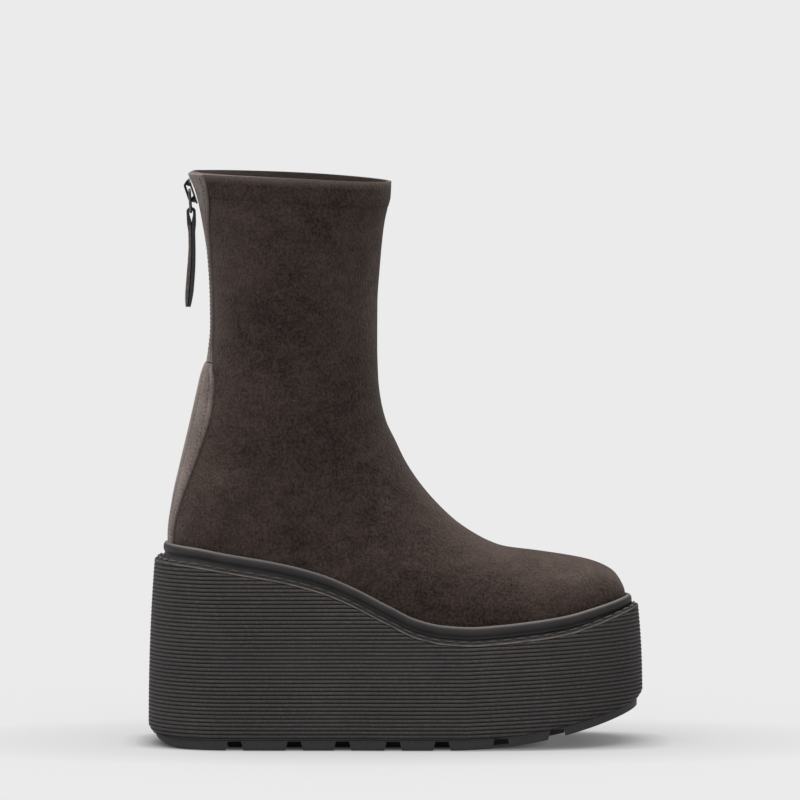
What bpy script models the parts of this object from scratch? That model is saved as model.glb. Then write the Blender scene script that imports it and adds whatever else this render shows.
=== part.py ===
# Platform ankle boot for a right foot: sock shaft in suede, zip up the back, ribbed wedge platform.
# Shoe frame: +X to the toe, -Y to the outer side, +Z up, floor at z = 0. Sizes in millimetres.

import bmesh
import bpy
import math
from mathutils import Vector

for old in list(bpy.data.objects):
    bpy.data.objects.remove(old)

MM = 0.001

# Driving sizes
UPPER_LENGTH = 246.5
UPPER_BACK = 10.9
BALL_WIDTH = 82.0
TOE_DRIFT = 11.0
PLATFORM_HEIGHT = 65.8
HEEL_RISE = 42.8
BOOT_HEIGHT = 308.4
COLLAR_DROP = 4.9
ANKLE_HALF_WIDTH = 35.0
COLLAR_HALF_WIDTH = 39.0
HEEL_ROUND = 33.0
INSTEP_REACH = 62.0
TOE_ROUND = 55.0
WALL = 2.0
CLEARANCE = 0.3
OVERLAY_GAP = 0.5

# Sole sizes
RIM_OUT_HEEL = 8.3
RIM_OUT_TOE = 7.0
WALL_FLARE = 2.5
SEAT_DEPTH = 5.0
SHOULDER_DROP = 9.3
RIB_PITCH = 2.12
RIB_DEPTH = 0.45
RIB_RISE = 4.0
OUTSOLE_HEEL_THICK = 5.5
OUTSOLE_TOE_THICK = 4.0
TOE_SPRING = 20.0
SPRING_START = 0.60
END_INSET = 2.4
SIDE_INSET = 0.4
LUG_DEPTH = 16.0

# Back panel and zip sizes
COUNTER_TOP = 206.0
COUNTER_THICK_TOP = 2.1
COUNTER_THICK_LOW = 0.8
FACING_THICK = 0.8
ZIP_SLOT = 3.0
CHAIN_THICK = 1.3
COIL_HALF_WIDTH = 1.5
COIL_PROUD = 0.9
SLIDER_LENGTH = 14.0
SLIDER_HALF_WIDTH = 4.2
SLIDER_PLATE = 1.0
BRIDGE_HALF_WIDTH = 1.3
BRIDGE_BAR = 0.8
WIRE = 1.4
LINK_LENGTH = 13.2
TAB_LENGTH = 52.0
TAB_WIDTH = 7.0
TAB_THICK = 4.0

# Number of stations along one side of the sole, and of steps up each half section
STATIONS = 20
HALF_STEPS = 9

SOLE_BACK = UPPER_BACK - RIM_OUT_HEEL - WALL_FLARE
SOLE_TIP = UPPER_BACK + UPPER_LENGTH + RIM_OUT_TOE + WALL_FLARE
SOLE_LENGTH = SOLE_TIP - SOLE_BACK
UPPER_RISE = BOOT_HEIGHT - PLATFORM_HEIGHT
PIVOT_X = 0.75 * SOLE_LENGTH
PIVOT_Z = PLATFORM_HEIGHT + 0.553 * UPPER_RISE

# Foot plan: half widths beside the ridge line, as shares of BALL_WIDTH. Ridge is a share of TOE_DRIFT,
# feather the height of the seam on the sole as a share of HEEL_RISE over PLATFORM_HEIGHT.
PLAN = ("station", "lateral", "medial", "ridge", "feather")
PLAN_ROWS = (
    (0.00, 0.402, 0.395, 0.00, 1.010),
    (0.06, 0.404, 0.396, 0.00, 0.985),
    (0.13, 0.408, 0.396, 0.00, 0.915),
    (0.24, 0.418, 0.350, 0.02, 0.805),
    (0.33, 0.421, 0.329, 0.05, 0.670),
    (0.40, 0.428, 0.341, 0.10, 0.505),
    (0.48, 0.454, 0.394, 0.21, 0.270),
    (0.54, 0.474, 0.432, 0.34, 0.100),
    (0.60, 0.492, 0.462, 0.48, 0.020),
    (0.66, 0.511, 0.484, 0.61, 0.000),
    (0.72, 0.514, 0.482, 0.71, 0.022),
    (0.79, 0.500, 0.462, 0.81, 0.064),
    (0.86, 0.482, 0.446, 0.89, 0.118),
    (0.93, 0.472, 0.450, 0.96, 0.212),
    (1.00, 0.460, 0.460, 1.00, 0.318),
)

# Back of the upper: height as a share of UPPER_RISE, forward as a share of SOLE_LENGTH.
BACK = ("height", "forward")
BACK_ROWS = (
    (0.120, 0.0432),
    (0.191, 0.0415),
    (0.270, 0.0510),
    (0.359, 0.0700),
    (0.449, 0.0905),
    (0.537, 0.1095),
    (0.605, 0.1225),
    (0.660, 0.1270),
    (0.730, 0.1262),
    (0.818, 0.1212),
    (0.890, 0.1110),
    (0.937, 0.1028),
    (0.970, 0.0940),
    (1.000, 0.0815),
)

# Front of the upper from the toe to the collar, in the same shares.
FRONT = ("forward", "height")
FRONT_ROWS = (
    (0.9635, 0.056),
    (0.9625, 0.067),
    (0.9570, 0.081),
    (0.9490, 0.096),
    (0.9370, 0.110),
    (0.9040, 0.128),
    (0.8695, 0.138),
    (0.7850, 0.153),
    (0.7180, 0.163),
    (0.6850, 0.176),
    (0.6480, 0.199),
    (0.6190, 0.222),
    (0.5770, 0.267),
    (0.5430, 0.313),
    (0.5165, 0.359),
    (0.4975, 0.404),
    (0.4780, 0.449),
    (0.4680, 0.494),
    (0.4620, 0.545),
    (0.4605, 0.615),
    (0.4610, 0.710),
    (0.4655, 0.785),
    (0.4735, 0.873),
    (0.4820, 0.917),
    (0.4865, 0.945),
    (0.4880, 0.980),
)

# Welt section: out from the upper, height over the feather line.
WELT = ("out", "height")
WELT_ROWS = (
    (0.3, -4.7),
    (3.0, -4.7),
    (2.7, -4.1),
    (3.1, -3.4),
    (3.5, -2.3),
    (3.1, -1.0),
    (2.0, -0.2),
    (0.9, 0.0),
    (0.3, -0.5),
)

# Half width of the back panel: height as a share of UPPER_RISE, width in millimetres.
STRIP = ("height", "width")
STRIP_ROWS = (
    (0.10, 13.0),
    (0.20, 14.5),
    (0.32, 18.5),
    (0.45, 21.0),
    (0.53, 19.0),
    (0.58, 13.0),
    (0.62, 9.5),
    (0.78, 9.5),
    (0.86, 12.5),
    (0.93, 18.0),
    (1.00, 22.0),
)

# Lug gaps along the edge: middle as a share of SOLE_LENGTH.
LUG_GAPS = (0.174, 0.294, 0.391, 0.493, 0.591, 0.710, 0.823)
GAP_TOP = 7.0
GAP_FLOOR = 9.5


def curve_value(rows, column, key):
    """Smooth value of one column of a table at a key in its first column, with no overshoot."""
    last = len(rows) - 1
    key = min(max(key, rows[0][0]), rows[last][0])
    low = 0
    while low < last - 1 and rows[low + 1][0] < key:
        low += 1

    def slope(index):
        if index <= 0 or index >= last:
            near = min(max(index, 1), last)
            return (rows[near][column] - rows[near - 1][column]) / (rows[near][0] - rows[near - 1][0])
        back = (rows[index][column] - rows[index - 1][column]) / (rows[index][0] - rows[index - 1][0])
        ahead = (rows[index + 1][column] - rows[index][column]) / (rows[index + 1][0] - rows[index][0])
        if back * ahead <= 0:
            return 0.0
        return 2 * back * ahead / (back + ahead)

    span = rows[low + 1][0] - rows[low][0]
    t = (key - rows[low][0]) / span
    start = rows[low][column]
    end = rows[low + 1][column]
    h1 = t * t * (3 - 2 * t)
    return (
        start
        + (end - start) * h1
        + span * (slope(low) * t * (1 - t) ** 2 - slope(low + 1) * t * t * (1 - t))
    )


def smooth(value):
    value = min(max(value, 0.0), 1.0)
    return value * value * (3 - 2 * value)


def mix(a, b, share):
    return a + (b - a) * share


def dome(share, power):
    """Rounded end of a section: 0 at its tip, 1 from its reach on."""
    left = 1.0 - min(max(share, 0.0), 1.0)
    return (1.0 - left**power) ** (1.0 / power)


# Foot and shaft


def station(x):
    return (x - UPPER_BACK) / UPPER_LENGTH


def ridge(x):
    return TOE_DRIFT * curve_value(PLAN_ROWS, PLAN.index("ridge"), station(x))


def feather(x):
    rise = curve_value(PLAN_ROWS, PLAN.index("feather"), station(x))
    return PLATFORM_HEIGHT + HEEL_RISE * rise


def plan_width(x, side):
    """Half width of the foot at the feather line before the heel is rounded."""
    column = PLAN.index("lateral" if side < 0 else "medial")
    width = BALL_WIDTH * curve_value(PLAN_ROWS, column, station(x))
    return width * dome((UPPER_BACK + UPPER_LENGTH - x) / TOE_ROUND, 2.0)


def back_x(z):
    share = (z - PLATFORM_HEIGHT) / UPPER_RISE
    return SOLE_LENGTH * curve_value(BACK_ROWS, BACK.index("forward"), share) + SOLE_BACK


HEEL_SHIFT = back_x(feather(UPPER_BACK)) - UPPER_BACK


def shaft_blend(x, z):
    low = feather(x) + 8.0
    high = PLATFORM_HEIGHT + 0.512 * UPPER_RISE
    return smooth((z - low) / (high - low))


def shaft_width(z):
    share = (z - PIVOT_Z) / (BOOT_HEIGHT - PIVOT_Z)
    return mix(ANKLE_HALF_WIDTH, COLLAR_HALF_WIDTH, smooth(share))


def back_half(x, z, side):
    """Half width of the upper, with the back rounded and the front left open."""
    blend = shaft_blend(x, z)
    base = mix(plan_width(x, side), shaft_width(z), blend)
    start = back_x(z) - HEEL_SHIFT * (1 - blend)
    half_depth = 0.5 * (front_at_height(max(z, PIVOT_Z)) - start)
    reach = mix(HEEL_ROUND, half_depth, blend)
    return base * dome((x - start) / reach, 2.1)


def front_curve(count):
    """Points down the front of the upper, evenly spaced, from the toe to the collar."""
    points = []
    for forward, height in FRONT_ROWS:
        points.append(Vector((SOLE_BACK + forward * SOLE_LENGTH, PLATFORM_HEIGHT + height * UPPER_RISE)))
    points[0] = Vector((UPPER_BACK + UPPER_LENGTH, feather(UPPER_BACK + UPPER_LENGTH)))
    keys = [0.0]
    for first, second in zip(points, points[1:]):
        keys.append(keys[-1] + (second - first).length)
    rows = [(key, point.x, point.y) for key, point in zip(keys, points)]
    out = []
    for step in range(count + 1):
        key = keys[-1] * step / count
        out.append((curve_value(rows, 1, key), curve_value(rows, 2, key)))
    return out


FRONT_LINE = front_curve(500)


def between(samples, key, value):
    """Point of a sampled line where key(point) reaches the value; the key grows along the line."""
    low = 0
    high = len(samples) - 1
    while high - low > 1:
        middle = (low + high) // 2
        if key(samples[middle]) < value:
            low = middle
        else:
            high = middle
    first = samples[low]
    second = samples[high]
    span = key(second) - key(first)
    share = min(max((value - key(first)) / span, 0.0), 1.0) if abs(span) > 1e-9 else 0.0
    return (mix(first[0], second[0], share), mix(first[1], second[1], share))


def front_at_height(z):
    return between(FRONT_LINE, lambda point: point[1], z)[0]


def fan_angle(point):
    return -math.atan2(PIVOT_Z - point[1], PIVOT_X - point[0])


# Sections of the upper: each runs from its low or back end to its high or front end


def section_point(low, high, t, side, reach, power):
    x = mix(low[0], high[0], t)
    z = mix(low[1], high[1], t)
    length = math.hypot(high[0] - low[0], high[1] - low[1])
    cap = dome((1 - t) * length / reach, power)
    return (x, ridge(x) + side * back_half(x, z, side) * cap, z)


def outline_x(index):
    middle = UPPER_BACK + UPPER_LENGTH / 2
    return middle + UPPER_LENGTH / 2 * math.cos(math.pi * index / STATIONS)


def fan_reach(angle):
    """How far the front of a section is rounded, by the angle of its plane above the level."""
    shaft = 0.5 * (front_at_height(PIVOT_Z) - back_x(PIVOT_Z))
    vamp = between(FRONT_LINE, lambda point: point[0] * -1, -PIVOT_X)[1] - feather(PIVOT_X)
    if angle < 35.0:
        return mix(shaft, INSTEP_REACH, smooth(angle / 35.0))
    return mix(INSTEP_REACH, vamp, smooth((angle - 35.0) / 55.0))


def fan_power(angle):
    return mix(2.1, 2.25, smooth((angle - 50.0) / 40.0))


def foot_sections():
    """Low end, high end, reach and power of each section that stands on the feather line."""
    found = []
    for index in range(1, STATIONS + 1):
        x = outline_x(index)
        low = (x, feather(x))
        if x >= PIVOT_X:
            high = between(FRONT_LINE, lambda point: -point[0], -x)
        else:
            high = between(FRONT_LINE, fan_angle, fan_angle(low))
        angle = math.degrees(-fan_angle(low))
        reach = fan_reach(angle) if x < PIVOT_X else high[1] - low[1]
        found.append((low, high, reach, fan_power(min(angle, 90.0))))
    return found


def shaft_sections():
    found = []
    heel = fan_angle((UPPER_BACK, feather(UPPER_BACK)))
    heights = []
    z_low = feather(UPPER_BACK)
    for step in range(200):
        z = mix(z_low, PIVOT_Z, step / 199)
        heights.append((back_x(z) - HEEL_SHIFT * (1 - shaft_blend(back_x(z), z)), z))
    for step in range(1, 8):
        angle = mix(heel, 0.0, step / 8)
        low = between(heights, fan_angle, angle)
        high = between(FRONT_LINE, fan_angle, angle)
        found.append((low, high, fan_reach(math.degrees(-angle)), 2.1))
    front_top = BOOT_HEIGHT - COLLAR_DROP
    for step in range(10):
        share = math.sin(0.5 * math.pi * step / 9) if step else 0.0
        z_back = mix(PIVOT_Z, BOOT_HEIGHT, share)
        z_front = mix(PIVOT_Z, front_top, share)
        low = (back_x(z_back), z_back)
        high = (front_at_height(z_front), z_front)
        found.append((low, high, 0.5 * (high[0] - low[0]), 2.1))
    return found


def section_row(low, high, reach, power):
    row = []
    for side in (-1, 1):
        half = []
        for step in range(HALF_STEPS + 1):
            t = (1 - math.cos(math.pi * step / HALF_STEPS)) / 2
            half.append(section_point(low, high, t, side, reach, power))
        if side < 0:
            row = half
        else:
            row += list(reversed(half))[1:]
    return row


# Outline of the sole: rings at a distance outside the feather line


def feather_point(turn):
    x = UPPER_BACK + UPPER_LENGTH / 2 * (1 + math.cos(turn))
    side = 1 if math.sin(turn) >= 0 else -1
    width = plan_width(x, side) * dome((x - UPPER_BACK) / HEEL_ROUND, 2.1)
    return Vector((x, ridge(x) + side * width))


def outline_point(index, out):
    """Point of the ring at this distance outside the feather line, and its outward direction."""
    turn = math.pi * index / STATIONS
    ahead = feather_point(turn + 0.02) - feather_point(turn - 0.02)
    normal = Vector((ahead.y, -ahead.x)).normalized()
    return feather_point(turn) + normal * out, normal


def rim_out(x):
    return mix(RIM_OUT_HEEL, RIM_OUT_TOE, min(max(station(x), 0.0), 1.0))


def feather_ring(out, height):
    """Ring that follows the feather line; out is a number or a function of x."""
    ring = []
    for index in range(2 * STATIONS):
        x = feather_point(math.pi * index / STATIONS).x
        distance = out(x) if callable(out) else out
        point, _ = outline_point(index, distance)
        ring.append((point.x, point.y, feather(x) + height))
    return ring


def lug_height(x):
    share = ((x - SOLE_BACK) / SOLE_LENGTH - SPRING_START) / (1 - SPRING_START)
    heel = 1 - (x - SOLE_BACK - 2.0) / 17.0
    return TOE_SPRING * max(share, 0.0) ** 2 + 4.6 * max(heel, 0.0) ** 2.4


def sole_floor(x):
    """Height of the joint between midsole and outsole."""
    share = max(((x - SOLE_BACK) / SOLE_LENGTH - SPRING_START) / (1 - SPRING_START), 0.0)
    return TOE_SPRING * share**2 + mix(OUTSOLE_HEEL_THICK, OUTSOLE_TOE_THICK, share**2)


def end_inset(normal):
    return SIDE_INSET + END_INSET * abs(normal.x) ** 3


def rib_height(x):
    share = (x - 0.64 * SOLE_LENGTH) / (0.36 * SOLE_LENGTH)
    return RIB_RISE * max(share, 0.0)


def midsole_ring(level, groove):
    ring = []
    for index in range(2 * STATIONS):
        x = feather_point(math.pi * index / STATIONS).x
        z = level + rib_height(x)
        top = feather(x) - SHOULDER_DROP
        floor = sole_floor(x)
        share = min(max((top - z) / (top - floor), 0.0), 1.0)
        out = rim_out(x) + WALL_FLARE * share
        _, normal = outline_point(index, 0.0)
        tuck = max(1 - (z - floor) / 5.0, 0.0)
        out -= end_inset(normal) * min(tuck, 1.0) ** 1.6
        if groove:
            out -= RIB_DEPTH
        point, _ = outline_point(index, out)
        ring.append((point.x, point.y, z))
    return ring


def outsole_ring(z):
    ring = []
    for index in range(2 * STATIONS):
        x = feather_point(math.pi * index / STATIONS).x
        _, normal = outline_point(index, 0.0)
        out = rim_out(x) + WALL_FLARE - end_inset(normal) - CLEARANCE
        point, _ = outline_point(index, out)
        ring.append((point.x, point.y, z))
    return ring


# Scene helpers

parts = bpy.data.collections.new("platform_ankle_boot")
cutters = bpy.data.collections.new("cutters")
bpy.context.scene.collection.children.link(parts)
bpy.context.scene.collection.children.link(cutters)
cutters.hide_render = True

bottom_ring = outsole_ring(0.0)
side_ring = midsole_ring(16.0, False)
middle_x = (SOLE_BACK + SOLE_TIP) / 2
low_y = min(point[1] for point in side_ring)
high_y = max(point[1] for point in side_ring)
ORIGIN = Vector((middle_x, (low_y + high_y) / 2, 0.0))

boot_frame = bpy.data.objects.new("boot_frame", None)
boot_frame.location = -ORIGIN * MM
parts.objects.link(boot_frame)


def material(name, color, roughness, metallic=0.0):
    made = bpy.data.materials.new(name)
    made.use_nodes = True
    shader = made.node_tree.nodes["Principled BSDF"]
    shader.inputs["Base Color"].default_value = (*color, 1.0)
    shader.inputs["Roughness"].default_value = roughness
    shader.inputs["Metallic"].default_value = metallic
    return made


def add_mesh(name, mesh, surface, parent=boot_frame, at=(0, 0, 0)):
    obj = bpy.data.objects.new(name, mesh)
    mesh.materials.append(surface)
    mesh.shade_smooth()
    mesh.set_sharp_from_angle(angle=math.radians(35))
    obj.parent = parent
    obj.location = Vector(at) * MM
    parts.objects.link(obj)
    return obj


def add_cutter(name, mesh):
    obj = bpy.data.objects.new(name, mesh)
    obj.parent = boot_frame
    obj.hide_render = True
    obj.display_type = "WIRE"
    cutters.objects.link(obj)
    return obj


def mesh_from(name, points, faces, flip_check=True):
    """Mesh in metres from points in millimetres, with doubles merged and faces turned outward."""
    shape = bmesh.new()
    verts = [shape.verts.new(Vector(point) * MM) for point in points]
    for face in faces:
        corners = []
        for corner in face:
            if verts[corner] not in corners:
                corners.append(verts[corner])
        if len(corners) > 2:
            shape.faces.new(corners)
    bmesh.ops.remove_doubles(shape, verts=shape.verts, dist=1e-6)
    bmesh.ops.dissolve_degenerate(shape, edges=shape.edges, dist=1e-7)
    if flip_check:
        bmesh.ops.recalc_face_normals(shape, faces=shape.faces)
    mesh = bpy.data.meshes.new(name)
    shape.to_mesh(mesh)
    shape.free()
    return mesh


def ring_stack(name, rings):
    """Solid through rings that start at the toe tip, with both ends closed by strips across."""
    count = len(rings[0])
    points = [point for ring in rings for point in ring]
    faces = []
    for level in range(len(rings) - 1):
        for index in range(count):
            ahead = (index + 1) % count
            base = level * count
            faces.append((base + index, base + ahead, base + count + ahead, base + count + index))
    for base in (0, (len(rings) - 1) * count):
        for index in range(count // 2):
            mirror = (count - index) % count
            mirror_ahead = count - index - 1
            faces.append((base + index, base + index + 1, base + mirror_ahead, base + mirror))
    return mesh_from(name, points, faces)


def ring_tube(name, rings):
    """Closed band: a section carried all the way round."""
    count = len(rings[0])
    total = len(rings)
    points = [point for ring in rings for point in ring]
    faces = []
    for level in range(total):
        for index in range(count):
            ahead = (index + 1) % count
            here = level * count
            after = ((level + 1) % total) * count
            faces.append((here + index, here + ahead, after + ahead, after + index))
    return mesh_from(name, points, faces)


def side_prism(name, line, half_width):
    """Solid with this closed outline of (x, z), extruded across the shoe."""
    count = len(line)
    points = [(x, -half_width, z) for x, z in line] + [(x, half_width, z) for x, z in line]
    faces = [tuple(range(count)), tuple(range(2 * count - 1, count - 1, -1))]
    for index in range(count):
        ahead = (index + 1) % count
        faces.append((index, ahead, count + ahead, count + index))
    return mesh_from(name, points, faces)


def two_sided(name, outer, inner):
    """Solid between two grids of the same size."""
    rows = len(outer)
    columns = len(outer[0])
    points = [point for row in outer for point in row] + [point for row in inner for point in row]
    half = rows * columns
    faces = []
    for row in range(rows - 1):
        for column in range(columns - 1):
            a = row * columns + column
            faces.append((a, a + 1, a + columns + 1, a + columns))
            faces.append((half + a, half + a + columns, half + a + columns + 1, half + a + 1))
    border = [column for column in range(columns)]
    border += [row * columns + columns - 1 for row in range(1, rows)]
    border += [(rows - 1) * columns + column for column in range(columns - 2, -1, -1)]
    border += [row * columns for row in range(rows - 2, 0, -1)]
    for index, here in enumerate(border):
        ahead = border[(index + 1) % len(border)]
        faces.append((here, ahead, half + ahead, half + here))
    return mesh_from(name, points, faces)


def boolean(obj, cutter, operation):
    modifier = obj.modifiers.new(cutter.name, "BOOLEAN")
    modifier.operation = operation
    modifier.object = cutter
    modifier.solver = "EXACT"
    return modifier


# Materials
suede = material("suede", (0.036, 0.026, 0.023), 0.95)
taupe_leather = material("taupe_leather", (0.115, 0.086, 0.075), 0.62)
sole_foam = material("sole_foam", (0.042, 0.037, 0.038), 0.55)
welt_rubber = material("welt_rubber", (0.035, 0.033, 0.033), 0.45)
tread_rubber = material("tread_rubber", (0.016, 0.015, 0.014), 0.6)
lining = material("lining", (0.045, 0.035, 0.03), 0.8)
zip_tape = material("zip_tape", (0.012, 0.011, 0.011), 0.7)
dark_metal = material("dark_metal", (0.02, 0.02, 0.022), 0.35, 1.0)
pull_leather = material("pull_leather", (0.02, 0.017, 0.016), 0.6)

# Upper: sections across the foot, fanned through the ankle and stacked up the shaft
tip_x = UPPER_BACK + UPPER_LENGTH
tip = (tip_x, ridge(tip_x), feather(tip_x))
standing = foot_sections()
rows = [section_row(*section) for section in standing + shaft_sections()]
columns = 2 * HALF_STEPS + 1
hidden = SEAT_DEPTH - CLEARANCE
upper_points = [point for row in rows for point in row]
upper_faces = []
for row in range(len(rows) - 1):
    for column in range(columns - 1):
        a = row * columns + column
        upper_faces.append((a, a + 1, a + columns + 1, a + columns))
tip_index = len(upper_points)
upper_points += [tip, (tip[0], tip[1], tip[2] - hidden)]
for column in range(columns - 1):
    upper_faces.append((tip_index, column + 1, column))
low_index = len(upper_points)
for row in range(len(standing)):
    for column in (0, columns - 1):
        x, y, z = rows[row][column]
        upper_points.append((x, y, z - hidden))
for side, column in ((0, 0), (1, columns - 1)):
    above, below = tip_index, tip_index + 1
    for row in range(len(standing)):
        next_above = row * columns + column
        next_below = low_index + 2 * row + side
        upper_faces.append((above, next_above, next_below, below))
        above, below = next_above, next_below
upper_mesh = mesh_from("upper", upper_points, upper_faces)
shape = bmesh.new()
shape.from_mesh(upper_mesh)
front_face = max(shape.faces, key=lambda face: face.calc_center_median().x)
if front_face.normal.x < 0:
    bmesh.ops.reverse_faces(shape, faces=shape.faces)
shape.to_mesh(upper_mesh)
shape.free()
upper = add_mesh("upper", upper_mesh, suede)
wall = upper.modifiers.new("wall", "SOLIDIFY")
wall.thickness = WALL * MM
wall.offset = -1.0

slot_line = [
    (back_x(BOOT_HEIGHT) - 12, COUNTER_TOP + 2),
    (back_x(COUNTER_TOP) + 12, COUNTER_TOP + 2),
    (back_x(COUNTER_TOP) + 12, BOOT_HEIGHT + 8),
    (back_x(BOOT_HEIGHT) - 12, BOOT_HEIGHT + 8),
]
slot_cutter = add_cutter("zip_slot_cutter", side_prism("zip_slot_cutter", slot_line, ZIP_SLOT))
boolean(upper, slot_cutter, "DIFFERENCE")

# Back panel: pieces laid on the upper's own surface


def back_point(z, y, out):
    """Point of the back of the upper at this height and side distance, pushed out by a distance."""
    side = -1 if y < 0 else 1

    def surface(height, across):
        low = back_x(height) - HEEL_SHIFT * (1 - shaft_blend(back_x(height), height))
        start = low
        high = low + HEEL_ROUND
        for _ in range(30):
            middle = (low + high) / 2
            if back_half(middle, height, side) < abs(across):
                low = middle
            else:
                high = middle
        return Vector((start if across == 0 else high, across, height))

    here = surface(z, y)
    step = 0.4
    along = surface(z, abs(y) + step) - surface(z, max(abs(y) - step, 0.0))
    along.y *= side
    if abs(y) < step:
        along = Vector((0, 1, 0))
    up = surface(z + step, y) - surface(z - step, y)
    normal = along.cross(up)
    if normal.x > 0:
        normal = -normal
    return tuple(here + normal.normalized() * out)


def strip_width(z):
    return curve_value(STRIP_ROWS, STRIP.index("width"), (z - PLATFORM_HEIGHT) / UPPER_RISE)


def back_grid(z_low, z_high, levels, y_shares, half_width, out):
    grid = []
    for level in range(levels + 1):
        z = mix(z_low, z_high, level / levels)
        width = half_width(z)
        distance = out(z) if callable(out) else out
        grid.append([back_point(z, share * width, distance) for share in y_shares])
    return grid


def counter_out(z):
    share = smooth((z - feather(UPPER_BACK)) / (COUNTER_TOP - feather(UPPER_BACK)))
    return OVERLAY_GAP + mix(COUNTER_THICK_LOW, COUNTER_THICK_TOP, share)


counter_shares = (-1.0, -0.75, -0.5, -0.25, 0.0, 0.25, 0.5, 0.75, 1.0)
counter_low = feather(UPPER_BACK) + CLEARANCE
outer = back_grid(counter_low, COUNTER_TOP, 12, counter_shares, strip_width, counter_out)
inner = back_grid(counter_low, COUNTER_TOP, 12, counter_shares, strip_width, OVERLAY_GAP)
heel_counter = add_mesh("heel_counter", two_sided("heel_counter", outer, inner), taupe_leather)

FACING_LOW = COUNTER_TOP + 0.5
FACING_HIGH = BOOT_HEIGHT - 0.8


def facing_grid(side, out):
    grid = []
    for level in range(15):
        z = mix(FACING_LOW, FACING_HIGH, level / 14)
        row = []
        for step in range(5):
            y = mix(ZIP_SLOT + 0.2, strip_width(z), step / 4)
            row.append(back_point(z, side * y, out))
        grid.append(row)
    return grid


for side, name in ((-1, "zip_facing_lateral"), (1, "zip_facing_medial")):
    outer = facing_grid(side, OVERLAY_GAP + FACING_THICK)
    inner = facing_grid(side, OVERLAY_GAP)
    add_mesh(name, two_sided(name, outer, inner), taupe_leather)

# Zip: tape and coil as one strip in the slot
CHAIN_LOW = COUNTER_TOP + 2 + CLEARANCE
CHAIN_HIGH = BOOT_HEIGHT - 1.5
tape_half = ZIP_SLOT - CLEARANCE
chain_rows = (
    (-tape_half, 0.0),
    (-COIL_HALF_WIDTH, 0.0),
    (-0.6 * COIL_HALF_WIDTH, COIL_PROUD),
    (0.6 * COIL_HALF_WIDTH, COIL_PROUD),
    (COIL_HALF_WIDTH, 0.0),
    (tape_half, 0.0),
)
outer = []
inner = []
for level in range(13):
    z = mix(CHAIN_LOW, CHAIN_HIGH, level / 12)
    outer.append([back_point(z, 0.0, lift) for _, lift in chain_rows])
    inner.append([back_point(z, 0.0, -CHAIN_THICK) for _ in chain_rows])
    for column, (y, _) in enumerate(chain_rows):
        outer[-1][column] = (outer[-1][column][0], y, outer[-1][column][2])
        inner[-1][column] = (inner[-1][column][0], y, inner[-1][column][2])
zip_chain = add_mesh("zip_chain", two_sided("zip_chain", outer, inner), zip_tape)

# Slider: plate with a bridge, leaning with the back of the collar
SLIDER_Z = BOOT_HEIGHT - 9.5
slope_low = Vector(back_point(SLIDER_Z - 6, 0.0, 0.0))
slope_high = Vector(back_point(SLIDER_Z + 6, 0.0, 0.0))
slope = (slope_high - slope_low).normalized()
away = Vector((-slope.z, 0.0, slope.x))
seat = (slope_low + slope_high) / 2
bow = (Vector(back_point(SLIDER_Z, 0.0, 0.0)) - seat).dot(away)
PLATE_LOW = max(bow, 0.0) + OVERLAY_GAP + FACING_THICK + CLEARANCE
PLATE_HIGH = PLATE_LOW + SLIDER_PLATE
BRIDGE_GAP = WIRE + 2 * CLEARANCE
BRIDGE_HIGH = PLATE_HIGH + BRIDGE_GAP + BRIDGE_BAR


def slider_point(along, across, out):
    return tuple(seat + slope * along + away * out + Vector((0, across, 0)))


half = SLIDER_LENGTH / 2
plate_line = (
    (-half, 0.72),
    (-half + 1.2, 0.86),
    (half - 3.0, 1.0),
    (half - 0.8, 0.85),
    (half, 0.5),
)
outer = []
inner = []
for along, share in plate_line:
    width = SLIDER_HALF_WIDTH * share
    crown = 0.25 * SLIDER_PLATE
    outer.append([slider_point(along, -width, PLATE_HIGH - crown), slider_point(along, -0.6 * width, PLATE_HIGH),
                  slider_point(along, 0.6 * width, PLATE_HIGH), slider_point(along, width, PLATE_HIGH - crown)])
    inner.append([slider_point(along, -width, PLATE_LOW), slider_point(along, -0.6 * width, PLATE_LOW),
                  slider_point(along, 0.6 * width, PLATE_LOW), slider_point(along, width, PLATE_LOW)])
slider = add_mesh("zip_slider", two_sided("zip_slider", outer, inner), dark_metal)

bridge_line = (
    (-5.0, PLATE_HIGH - 0.3),
    (-5.0, PLATE_HIGH + 0.5 * BRIDGE_GAP),
    (-3.8, BRIDGE_HIGH),
    (4.8, BRIDGE_HIGH),
    (6.0, PLATE_HIGH + 0.5 * BRIDGE_GAP),
    (6.0, PLATE_HIGH - 0.3),
    (4.6, PLATE_HIGH - 0.3),
    (4.6, PLATE_HIGH + BRIDGE_GAP),
    (-3.6, PLATE_HIGH + BRIDGE_GAP),
    (-3.6, PLATE_HIGH - 0.3),
)
count = len(bridge_line)
points = [slider_point(along, -BRIDGE_HALF_WIDTH, out) for along, out in bridge_line]
points += [slider_point(along, BRIDGE_HALF_WIDTH, out) for along, out in bridge_line]
faces = [tuple(range(count)), tuple(range(2 * count - 1, count - 1, -1))]
for index in range(count):
    ahead = (index + 1) % count
    faces.append((index, ahead, count + ahead, count + index))
bridge_cutter = add_cutter("slider_bridge", mesh_from("slider_bridge", points, faces))
boolean(slider, bridge_cutter, "UNION")

# Pull: a wire link through the bridge and a folded leather tab on it, turning together
pivot = Vector(slider_point(1.2, 0.0, PLATE_HIGH + BRIDGE_GAP / 2))
pull_axis = bpy.data.objects.new("pull_axis", None)
pull_axis.parent = boot_frame
pull_axis.location = pivot * MM
parts.objects.link(pull_axis)

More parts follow.
